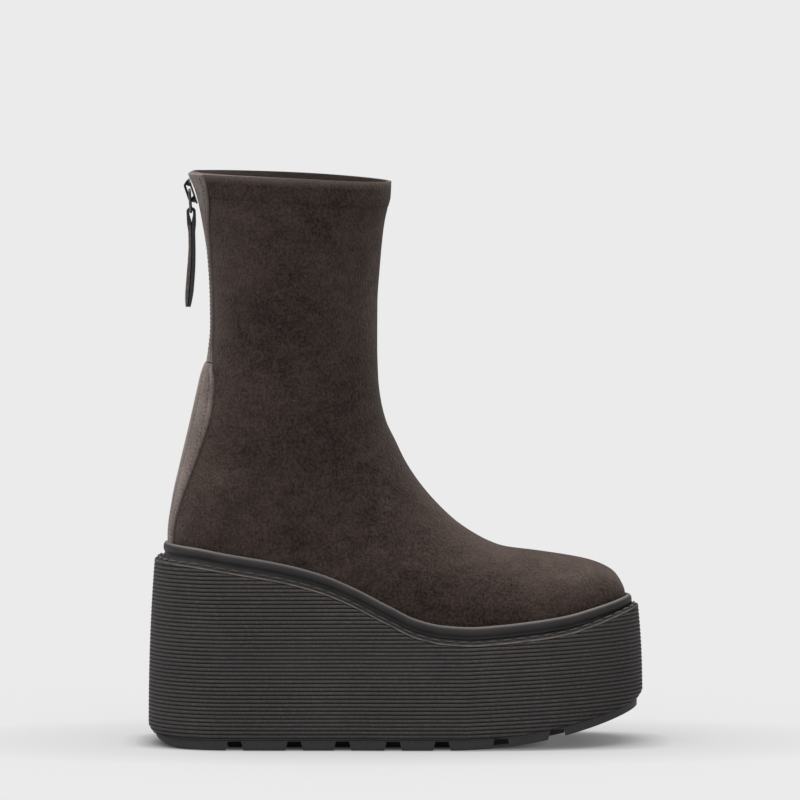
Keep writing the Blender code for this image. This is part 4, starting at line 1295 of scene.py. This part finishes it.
def back_surface(z, y):
    side = -1 if y < 0 else 1
    start = back_start(z)
    if abs(y) < 0.05:
        return (start, y, z)
    low, high = start, start + 45.0
    for _ in range(16):
        middle = (low + high) / 2
        if back_half(middle, z, side) < abs(y):
            low = middle
        else:
            high = middle
    return ((low + high) / 2, y, z)


def strip_width(z):
    return curve_value(STRIP_ROWS, 1, (z - PLATFORM_HEIGHT) / UPPER_RISE)


def laid_on(heights, widths, relief):
    """Grid of places over the back, its ways out, and the grid lifted by a relief in millimetres."""
    base = np.array([[back_surface(z, y) for y in row] for z, row in zip(heights, widths)])
    outs = row_normals(base, INSIDE)
    return base, outs, base + outs * np.asarray(relief)[:, :, None]


def panel(name, heights, widths, relief):
    """Closed piece between a relief and the surface under it."""
    base, outs, top = laid_on(heights, widths, relief)
    under = base + outs * 0.02
    rows = [list(row) + list(low[::-1]) + [row[0]] for row, low in zip(top, under)]
    first = [list(under[0]) + list(under[0][::-1]) + [under[0][0]]]
    last = [list(under[-1]) + list(under[-1][::-1]) + [under[-1][0]]]
    piece = grid_piece(name, first + rows + last)
    edit(piece, merge, turn_out)
    return piece, top, outs


# %% [markdown]
# The heel panel is a padded piece of leather, thick at its top and skived thin at the sole. Its
# edges roll down, and each row of thread pulls a small valley into it.

# %% Heel panel
EDGE_SHARES = (1.0, 0.992, 0.975, 0.95)
counter_shares = [-share for share in EDGE_SHARES]
counter_shares += list(np.linspace(-0.92, 0.92, 45)) + list(EDGE_SHARES[::-1])
counter_low = feather(UPPER_BACK) - 1.2
counter_heights = list(np.linspace(counter_low, COUNTER_TOP - 1.6, 62))
counter_heights += [COUNTER_TOP - rest for rest in (1.2, 0.7, 0.3, 0.05)]


def seam_lines(z):
    """Distances from the middle of the two seams on each side of the heel panel."""
    width = strip_width(z)
    return (width - 2.1, 0.50 * width)


counter_widths = []
counter_relief = []
for z in counter_heights:
    width = strip_width(z)
    rise = smooth((z - counter_low) / (COUNTER_TOP - counter_low))
    thick = OVERLAY_GAP + mix(0.8, 2.1, rise)
    at_top = mix(0.48, 1.0, dome((COUNTER_TOP - z) / 10.0, 1.6)) * dome((COUNTER_TOP - z) / 0.5, 2.0)
    row = []
    for share in counter_shares:
        at_edge = 0.30 + 0.70 * dome((1 - abs(share)) * width / 1.3, 2.0)
        away = [(abs(share) * width - seam) / 0.65 for seam in seam_lines(z)]
        valley = sum(0.34 * math.exp(-0.5 * distance**2) for distance in away)
        row.append(max(thick * at_edge - valley, 0.1) * max(at_top, 0.05))
    counter_widths.append([share * width for share in counter_shares])
    counter_relief.append(row)
counter, counter_top, counter_outs = panel("heel_panel", counter_heights, counter_widths, counter_relief)
# Painted shade along the heel panel's outer edge.
counter_seam_shade = np.zeros(len(counter.data.vertices))
for index, vertex in enumerate(counter.data.vertices):
    high = vertex.co.z / MM
    wide = abs(vertex.co.y / MM + CENTRE[1])
    counter_seam_shade[index] = max(1 - abs(wide - strip_width(high)) / 0.45, 0.0)
mark(counter, "seam", counter_seam_shade)
finish_piece(counter, "boot", [taupe_material], ["heel_counter"], 60.0)

# %% Thread of the heel panel
counter_lines = []
for side in (-1, 1):
    for which in (0, 1):
        path, outs = [], []
        for row, z in enumerate(counter_heights[:-6]):
            wanted = side * seam_lines(z)[which]
            widths = counter_widths[row]
            path.append([np.interp(wanted, widths, counter_top[row, :, axis]) for axis in range(3)])
            outs.append([np.interp(wanted, widths, counter_outs[row, :, axis]) for axis in range(3)])
        counter_lines.append((path, outs))
sew("heel_panel_thread", counter_lines, 2.3, 1.5, 0.55, dark_thread, 0.03)

# %% [markdown]
# Two strips of the same leather carry on up to the collar, one on each side of the zip. Both of
# their edges roll down, and at the collar they widen like a tail.

# %% Strips beside the zip
facing_heights = [COUNTER_TOP + rise for rise in (0.35, 0.6, 1.0)]
facing_heights += list(np.linspace(COUNTER_TOP + 1.8, BOOT_HEIGHT - 1.2, 58))
facing_heights += [BOOT_HEIGHT - rest for rest in (0.7, 0.3, 0.05)]
facing_shares = list(np.r_[0.0, 0.012, 0.04, 0.09, np.linspace(0.15, 0.90, 15), 0.94, 0.97, 0.99, 1.0])
facing_lines = []
STRIPS = ((-1, "zip_strip_outer", "zip_facing_lateral"), (1, "zip_strip_inner", "zip_facing_medial"))
for side, name, node in STRIPS:
    widths, relief = [], []
    for z in facing_heights:
        inner = ZIP_SLOT + 0.1
        outer = strip_width(z)
        ends = dome((z - COUNTER_TOP) / 0.6, 2.0) * dome((BOOT_HEIGHT - z) / 1.2 + 0.25, 2.0)
        row = []
        for share in facing_shares:
            y = mix(inner, outer, share)
            edge = min(0.15 + 0.85 * dome((y - inner) / 0.9, 2.0), 0.25 + 0.75 * dome((outer - y) / 0.9, 2.0))
            valley = 0.32 * math.exp(-0.5 * ((y - inner - 1.7) / 0.5) ** 2)
            valley += 0.32 * math.exp(-0.5 * ((outer - y - 1.6) / 0.5) ** 2)
            row.append(max((OVERLAY_GAP + 0.8) * edge - valley, 0.08) * ends)
        widths.append([side * mix(inner, outer, share) for share in facing_shares])
        relief.append(row)
    strip, top, outs = panel(name, facing_heights, widths, relief)
    # Painted highlight at the collar, and painted shade along the outer edge.
    pale, dark = [], []
    for vertex in strip.data.vertices:
        high = vertex.co.z / MM
        wide = abs(vertex.co.y / MM + CENTRE[1])
        pale.append(max(1 - (BOOT_HEIGHT - high) / 1.5, 0.0))
        dark.append(max(1 - abs(wide - strip_width(high)) / 0.45, 0.0))
    mark(strip, "painted_edge_highlight", pale)
    mark(strip, "seam", dark)
    finish_piece(strip, "boot", [taupe_material], [node], 60.0)
    for column in (4, -6):
        path = [top[row, column] for row in range(3, len(facing_heights) - 3)]
        facing_lines.append((path, [outs[row, column] for row in range(3, len(facing_heights) - 3)]))
inner_y = [[mix(ZIP_SLOT + 0.1, strip_width(z), share) for share in facing_shares] for z in facing_heights]
print("columns of thread sit at, mm:", round(inner_y[20][4], 1), round(inner_y[20][-6], 1))
sew("zip_strip_thread", facing_lines, 2.3, 1.5, 0.52, dark_thread, 0.03)

# %% [markdown]
# The hem's thread is the colour of the suede, so it is hardly there: small raised dashes in the
# groove, thirteen millimetres under the collar.

# %% Hem thread
hem_path, hem_outs = [], []
for column in range(skin.shape[1]):
    drops = under_collar[-SHAFT_ROWS:, column]
    if skin[-20, column, 0] < BACK_PART and abs(across_y[-20, column]) < 15.0:
        continue
    row = int(np.argmax(drops < HEM_DEPTH))
    share = (drops[row - 1] - HEM_DEPTH) / (drops[row - 1] - drops[row])
    here = skin.shape[0] - SHAFT_ROWS + row
    hem_path.append(mix(skin[here - 1, column], skin[here, column], share))
    hem_outs.append(normals[here, column])
sew("hem_thread", [(hem_path, hem_outs)], 3.0, 1.9, 0.45, hem_finish, 0.03)

# %% [markdown]
# The zip is closed. Its tape is a narrow woven band in the slit, and on it lie two rows of nylon
# coil whose loops lock into each other. One loop is modelled from a cube with rounded ends and
# copied up both sides, half a pitch apart.

# %% Zip tape
chain_low = COUNTER_TOP + 2.4
chain_high = BOOT_HEIGHT - 1.5
tape_heights = np.linspace(chain_low, chain_high, 60)
tape_half = ZIP_SLOT - 0.1
tape_shares = (-1.0, -0.8, -0.5, 0.0, 0.5, 0.8, 1.0)
tape_rows = []
for z in tape_heights:
    x = back_x(z)
    front = [(x - 0.1, share * tape_half, z) for share in tape_shares]
    rear = [(x + 1.1, share * tape_half, z) for share in tape_shares[::-1]]
    tape_rows.append(front + rear + front[:1])
centre_low = [(back_x(chain_low) + 0.5, 0.0, chain_low)] * len(tape_rows[0])
centre_high = [(back_x(chain_high) + 0.5, 0.0, chain_high)] * len(tape_rows[0])
tape = grid_piece("zip_tape_band", [centre_low] + tape_rows + [centre_high])
edit(tape, merge, turn_out)
finish_piece(tape, "boot", [tape_material], ["zip_chain"], 40.0)

# %% Zip coil
COIL_PITCH = 1.25
bpy.ops.object.select_all(action="DESELECT")
bpy.ops.mesh.primitive_cube_add(size=1.0, scale=(0.85 * MM, 2.1 * MM, 1.0 * MM))
loop = bpy.context.object
bpy.ops.object.transform_apply(location=False, rotation=False, scale=True)
edit(loop, lambda: bpy.ops.mesh.bevel(offset=0.28 * MM, segments=1, affect="EDGES"))
coil_line = [(back_x(z), 0.0, z) for z in np.linspace(chain_low + 0.8, chain_high - 0.8, 120)]
coil_outs = []
for index, point in enumerate(coil_line):
    ahead = coil_line[min(index + 1, 119)]
    behind = coil_line[max(index - 1, 0)]
    coil_outs.append((-(ahead[2] - behind[2]), 0.0, ahead[0] - behind[0]))
spots, alongs, faces = spaced(coil_line, coil_outs, COIL_PITCH)
turns = []
for spot, along, face in zip(spots, alongs, faces):
    face = face / np.linalg.norm(face)
    along = along / np.linalg.norm(along)
    for side in (-1, 1):
        centre = spot + face * 0.42 + along * side * COIL_PITCH / 4 + np.array([0.0, side * 0.62, 0.0])
        turns.append(matrix_of(metres(centre), along, face))
coil = copies_of(loop, "zip_coil", turns)
finish_piece(coil, "boot", [coil_material], (), 50.0)

# %% [markdown]
# The slider stands at the top of the closed zip, under the collar. It is a flat body with a
# nose, and over it a small bridge that holds the link. The body is a cube that is subdivided and
# narrowed towards its ends; the bridge is a flat bar bent over.

# %% Slider body
SLIDER_Z = BOOT_HEIGHT - 9.5
slope_low = np.array([back_x(SLIDER_Z - 6), 0.0, SLIDER_Z - 6])
slope_high = np.array([back_x(SLIDER_Z + 6), 0.0, SLIDER_Z + 6])
slope = (slope_high - slope_low) / np.linalg.norm(slope_high - slope_low)
away = np.array([-slope[2], 0.0, slope[0]])
seat = (slope_low + slope_high) / 2
bow = float(np.dot(np.array([back_x(SLIDER_Z), 0.0, SLIDER_Z]) - seat, away))
PLATE_LOW = max(bow, 0.0) + 1.6
PLATE_HIGH = PLATE_LOW + 1.0
BRIDGE_TOP = PLATE_HIGH + 2.0 + 0.8


def slider_point(along, across, out):
    return seat + slope * along + away * out + np.array([0.0, across, 0.0])


def move_points(piece, place):
    """Each point of a piece modelled in millimetres about the origin goes to place(x, y, z)."""
    points = [place(*vertex.co) for vertex in piece.data.vertices]
    piece.data.vertices.foreach_set("co", metres(points).ravel())
    piece.data.update()


def body_place(x, y, z):
    nose = 1.0 - 0.42 * smooth((x - 3.0) / 4.0) ** 2 - 0.22 * smooth((-x - 4.5) / 2.5)
    waist = 1.0 - 0.10 * math.exp(-0.5 * ((x + 1.0) / 2.0) ** 2)
    crown = 0.22 * (y / 4.2) ** 2
    return slider_point(x, y * nose * waist, mix(PLATE_LOW, PLATE_HIGH, z + 0.5) - crown * (z + 0.5))


bpy.ops.object.select_all(action="DESELECT")
bpy.ops.mesh.primitive_cube_add(size=1.0, scale=(14.0, 8.4, 1.0))
slider = bpy.context.object
slider.name = "zip_slider_body"
bpy.ops.object.transform_apply(location=False, rotation=False, scale=True)
edit(slider, lambda: bpy.ops.mesh.subdivide(number_cuts=13))
move_points(slider, body_place)
edit(slider, merge, turn_out)
rounding = slider.modifiers.new("rounding", "BEVEL")
rounding.width = 0.22 * MM
rounding.segments = 3
rounding.limit_method = "ANGLE"
rounding.angle_limit = math.radians(60)
apply_all(slider)
print("slider stands off the wall by, mm:", round(PLATE_LOW, 2))

# %% Bars swept along a line


def swept(name, line, ways, half_out, half_across, steps=12, closed=False, square=4.0):
    """A bar along a line of places: its section is a rounded oblong, as thick and wide as given."""
    line = np.asarray(line, dtype=float)
    rows = []
    for index, point in enumerate(line):
        way, across = ways[index]
        thick = half_out[index] if isinstance(half_out, list) else half_out
        wide = half_across[index] if isinstance(half_across, list) else half_across
        row = []
        for step in range(steps + 1):
            angle = 2 * math.pi * step / steps
            cosine, sine = math.cos(angle), math.sin(angle)
            size = (abs(cosine) ** square + abs(sine) ** square) ** (-1 / square)
            row.append(point + way * thick * cosine * size + across * wide * sine * size)
        rows.append(row)
    if closed:
        rows.append(rows[0])
    else:
        rows = [[line[0]] * (steps + 1)] + rows + [[line[-1]] * (steps + 1)]
    piece = grid_piece(name, rows)
    edit(piece, merge, turn_out)
    return piece


def ways_along(line, across, closed=False):
    """For each place of a line, the way square to it and to a given direction."""
    line = np.asarray(line, dtype=float)
    count = len(line)
    found = []
    for index in range(count):
        ahead = line[(index + 1) % count] if closed else line[min(index + 1, count - 1)]
        behind = line[index - 1] if closed else line[max(index - 1, 0)]
        way = np.cross(ahead - behind, across)
        found.append((way / np.linalg.norm(way), np.asarray(across, dtype=float)))
    return found


def rounded(corners, radius, steps=6):
    """Places along a bent line, with a round bend at each corner."""
    corners = [np.asarray(corner, dtype=float) for corner in corners]
    line = [corners[0]]
    for before, corner, after in zip(corners, corners[1:], corners[2:]):
        first = (before - corner) / np.linalg.norm(before - corner)
        second = (after - corner) / np.linalg.norm(after - corner)
        reach = min(radius, 0.45 * np.linalg.norm(before - corner), 0.45 * np.linalg.norm(after - corner))
        for step in range(steps + 1):
            share = step / steps
            start, end = corner + first * reach, corner + second * reach
            line.append((1 - share) ** 2 * start + 2 * share * (1 - share) * corner + share**2 * end)
    return line + [corners[-1]]


# %% Slider bridge
bridge_line = rounded(
    [
        slider_point(-4.4, 0, PLATE_HIGH - 0.4),
        slider_point(-4.4, 0, BRIDGE_TOP - 0.15),
        slider_point(4.9, 0, BRIDGE_TOP - 0.15),
        slider_point(4.9, 0, PLATE_HIGH - 0.4),
    ],
    1.5,
)
bridge_thick = [0.65 + 1.6 * (2 * step / (len(bridge_line) - 1) - 1) ** 6 for step in range(len(bridge_line))]
bridge = swept("bridge", bridge_line, ways_along(bridge_line, (0, 1, 0)), bridge_thick, 1.6, 16)
pick(slider, bridge)
bpy.ops.object.join()
finish_piece(slider, "boot", [black_metal], ["zip_slider"], 40.0)

# %% [markdown]
# The pull hangs from the bridge: a wire link, and a leather strip that is folded round the
# link's lower bar and sewn to itself, which leaves a small teardrop under the bar.
# Both ride on the body that swings, so they follow the joint.

# %% Link
WIRE = 1.4
LINK_LENGTH = 13.2
TAB_LENGTH = 52.0
TAB_WIDTH = 7.0
TAB_THICK = 4.0
LINK_LEAN = 0.9 / 13.0
pivot = slider_point(1.2, 0.0, PLATE_HIGH + 1.0)
half_link = TAB_WIDTH / 2 + 0.3 + WIRE / 2
drop = LINK_LENGTH - WIRE
corners = [(half_link, 0.0), (half_link, -drop), (-half_link, -drop), (-half_link, 0.0)]
line = rounded([(0.0, 0.0)] + corners + [(0.0, 0.0)], 1.7, 7)[:-1]
link_line = [pivot + np.array([-LINK_LEAN * z, y, z]) for y, z in line]
link_ways = ways_along(link_line, (1.0, 0.0, LINK_LEAN), True)
link = swept("pull_wire_link", link_line, link_ways, WIRE / 2, WIRE / 2, 14, True, 2.0)
finish_piece(link, "pull", [bare_metal], ["pull_link"], 60.0)
print("pivot of the pull, mm:", [round(float(value), 1) for value in pivot])

# %% Folded strip
# share of the length down, middle forward of the bar, half thickness as a share
TAB_ROWS = (
    (0.00, 0.10, 0.620),
    (0.055, 0.20, 0.620),
    (0.12, 0.30, 0.600),
    (0.22, 0.45, 0.460),
    (0.36, 0.55, 0.470),
    (0.50, 0.35, 0.520),
    (0.64, -0.10, 0.560),
    (0.80, -0.75, 0.560),
    (0.93, -1.35, 0.450),
    (0.985, -1.60, 0.330),
)
EYE = 1.0
bar = pivot + np.array([LINK_LEAN * drop, 0.0, -drop])


def tab_layer(side):
    """Places and thicknesses down one of the two layers of the strip."""
    line, thick = [], []
    for down in np.linspace(0.012, 0.985, 40):
        outer = TAB_THICK * curve_value(TAB_ROWS, 2, down)
        inner = max(EYE * (1 - (down * TAB_LENGTH - 1.6) / 3.8), 0.03)
        inner = min(inner, EYE)
        middle = curve_value(TAB_ROWS, 1, down)
        line.append(bar + np.array([middle + side * (outer + inner) / 2, 0.0, -down * TAB_LENGTH]))
        thick.append((outer - inner) / 2)
    return line, thick


outer_line, outer_thick = tab_layer(-1)
inner_line, inner_thick = tab_layer(1)
bend_line, bend_thick = [], []
for step in range(1, 12):
    angle = math.radians(180 - 15 * step)
    radius = (EYE + 2.5) / 2
    forward = radius * math.cos(angle) + 0.1 * step / 12
    bend_line.append(bar + np.array([forward, 0.0, radius * math.sin(angle)]))
    bend_thick.append((2.5 - EYE) / 2)
tab_line = outer_line[::-1] + bend_line + inner_line
tab_thick = outer_thick[::-1] + bend_thick + inner_thick
tab_ends = [TAB_WIDTH / 2 * dome(0.35 + step / 4, 2.0) for step in range(3)]
tab_wide = tab_ends + [TAB_WIDTH / 2] * (len(tab_line) - 6) + tab_ends[::-1]
tab = swept("pull_strip", tab_line, ways_along(tab_line, (0, 1, 0)), tab_thick, tab_wide, 28, False, 7.0)
tab.data.materials.append(pull_black)
tab.data.materials.append(pull_painted_sheen)
# The outer face of the strip's lower part takes the lighter copy, a painted sheen.
for face in tab.data.polygons:
    down = (bar[2] - face.center.z / MM) / TAB_LENGTH
    outer_side = face.center.x / MM + CENTRE[0] < bar[0] + curve_value(TAB_ROWS, 1, down) - 0.3
    face.material_index = 1 if outer_side and down > 0.14 else 0
finish_piece(tab, "pull", [], ["pull_tab"], 50.0)

# %% [markdown]
# The tread is a thin slab under the platform. Its edge follows the platform's, its ends curl up,
# and the lugs are what is left between gaps cut in from both sides. One joined cutter makes all
# the gaps and the fine grooves across the sole.

# %% Slab of the tread


def slab_ring(inside, share):
    """A ring of the slab, this far inside the platform's edge and this far up its thickness."""
    ring = []
    for post in posts:
        out = post.rim + WALL_FLARE - post.inset - inside
        ring.append(post.place(out, mix(post.tread, post.floor - 0.05, share)))
    return ring


slab_top = slab_ring(0.3, 1.0)
slab_rows = [slab_ring(0.6, 0.0)] + [slab_ring(0.3, share) for share in (0.08, 0.35, 0.65, 0.92)] + [slab_top]
slab_all = spokes(slab_rows[0], (0.0, 0.3, 0.6, 0.9)) + slab_rows + spokes(slab_rows[-1], (0.9, 0.5, 0.0))
slab = grid_piece("tread_slab", [row + [row[0]] for row in slab_all])
edit(slab, merge, turn_out)
print("thinnest tread, mm:", round(min(post.floor - post.tread for post in posts), 1))

# %% Cutter of gaps and grooves
LUG_GAPS = (0.174, 0.294, 0.391, 0.493, 0.591, 0.710, 0.823)
GAP_TOP = 7.0
GAP_FLOOR = 9.5
LUG_DEPTH = 16.0


def block(x, y_low, y_high, z_low, z_high, wide_low, wide_high):
    """A cube placed across the sole, narrower at its top."""
    middle = tuple(metres((x, (y_low + y_high) / 2, (z_low + z_high) / 2)))
    size = (wide_low * MM, (y_high - y_low) * MM, (z_high - z_low) * MM)
    bpy.ops.object.select_all(action="DESELECT")
    bpy.ops.mesh.primitive_cube_add(size=1.0, location=middle, scale=size)
    cutter = bpy.context.object
    bpy.ops.object.transform_apply(location=True, rotation=False, scale=True)
    for vertex in cutter.data.vertices:
        if vertex.co.z > middle[2]:
            vertex.co.x = middle[0] + (vertex.co.x - middle[0]) * wide_high / wide_low
    return cutter


def edge_at(x, side):
    near = [point for point in slab_top if (point[1] - ridge(point[0])) * side > 0]
    return min(near, key=lambda point: abs(point[0] - x))[1]


cutters = []
for share in LUG_GAPS:
    x = SOLE_BACK + share * SOLE_LENGTH
    low = tread_height(x)
    high = low + 0.95 * (floor_height(x) - 0.3 - low)
    for side in (-1, 1):
        edge = edge_at(x, side)
        ends = sorted((edge - side * LUG_DEPTH, edge + side * 20.0))
        cutters.append(block(x, ends[0], ends[1], low - 6.0, high, GAP_FLOOR + 3.0, GAP_TOP))
for step in range(24):
    x = SOLE_BACK + 24.0 + step * 9.1
    if min(abs(x - SOLE_BACK - share * SOLE_LENGTH) for share in LUG_GAPS) < 3.0:
        continue
    low = tread_height(x)
    inner = edge_at(x, 1) - 7.0, edge_at(x, -1) + 7.0
    cutters.append(block(x, inner[1], inner[0], low - 6.0, low + 1.2, 1.5, 1.1))
pick(*cutters)
bpy.ops.object.join()
gaps = bpy.context.object
cut = slab.modifiers.new("gaps", "BOOLEAN")
cut.operation = "DIFFERENCE"
cut.object = gaps
cut.solver = "EXACT"
cut.use_self = True
apply_all(slab)
bpy.data.objects.remove(gaps)
edges = slab.modifiers.new("edges", "BEVEL")
edges.width = 0.3 * MM
edges.segments = 2
edges.limit_method = "ANGLE"
edges.angle_limit = math.radians(50)
apply_all(slab)
finish_piece(slab, "boot", [tread_material], ["outsole"], 35.0)
print("lowest point of the tread, mm:", round(min(vertex.co.z for vertex in slab.data.vertices) / MM, 2))

# %% [markdown]
# Through the collar one looks down on the footbed. It is a thin soft sheet, a little cupped, with
# a rounded edge against the lining.

# %% Footbed
BED_EDGE = ((0.0, -4.6), (0.35, -4.3), (0.55, -3.6), (0.55, -2.6), (0.35, -1.9), (-0.3, -1.5), (-1.2, -1.35))
bed_rows = [[post.place(-2.6 - 0.55 + out, post.seam + height) for post in posts] for out, height in BED_EDGE]
rim_row = bed_rows[-1]
top_rows = []
for share in (0.93, 0.8, 0.6, 0.3, 0.0):
    sag = 1.3 * (1 - share**2)
    top_rows.append([(x, y, z - sag) for x, y, z in spokes(rim_row, (share,))[0]])
bed_all = spokes(bed_rows[0], (0.0, 0.5, 0.95)) + bed_rows + top_rows
bed = grid_piece("footbed", [row + [row[0]] for row in bed_all])
edit(bed, merge, turn_out)
finish_piece(bed, "boot", [lining_material], ["insole"], 60.0)
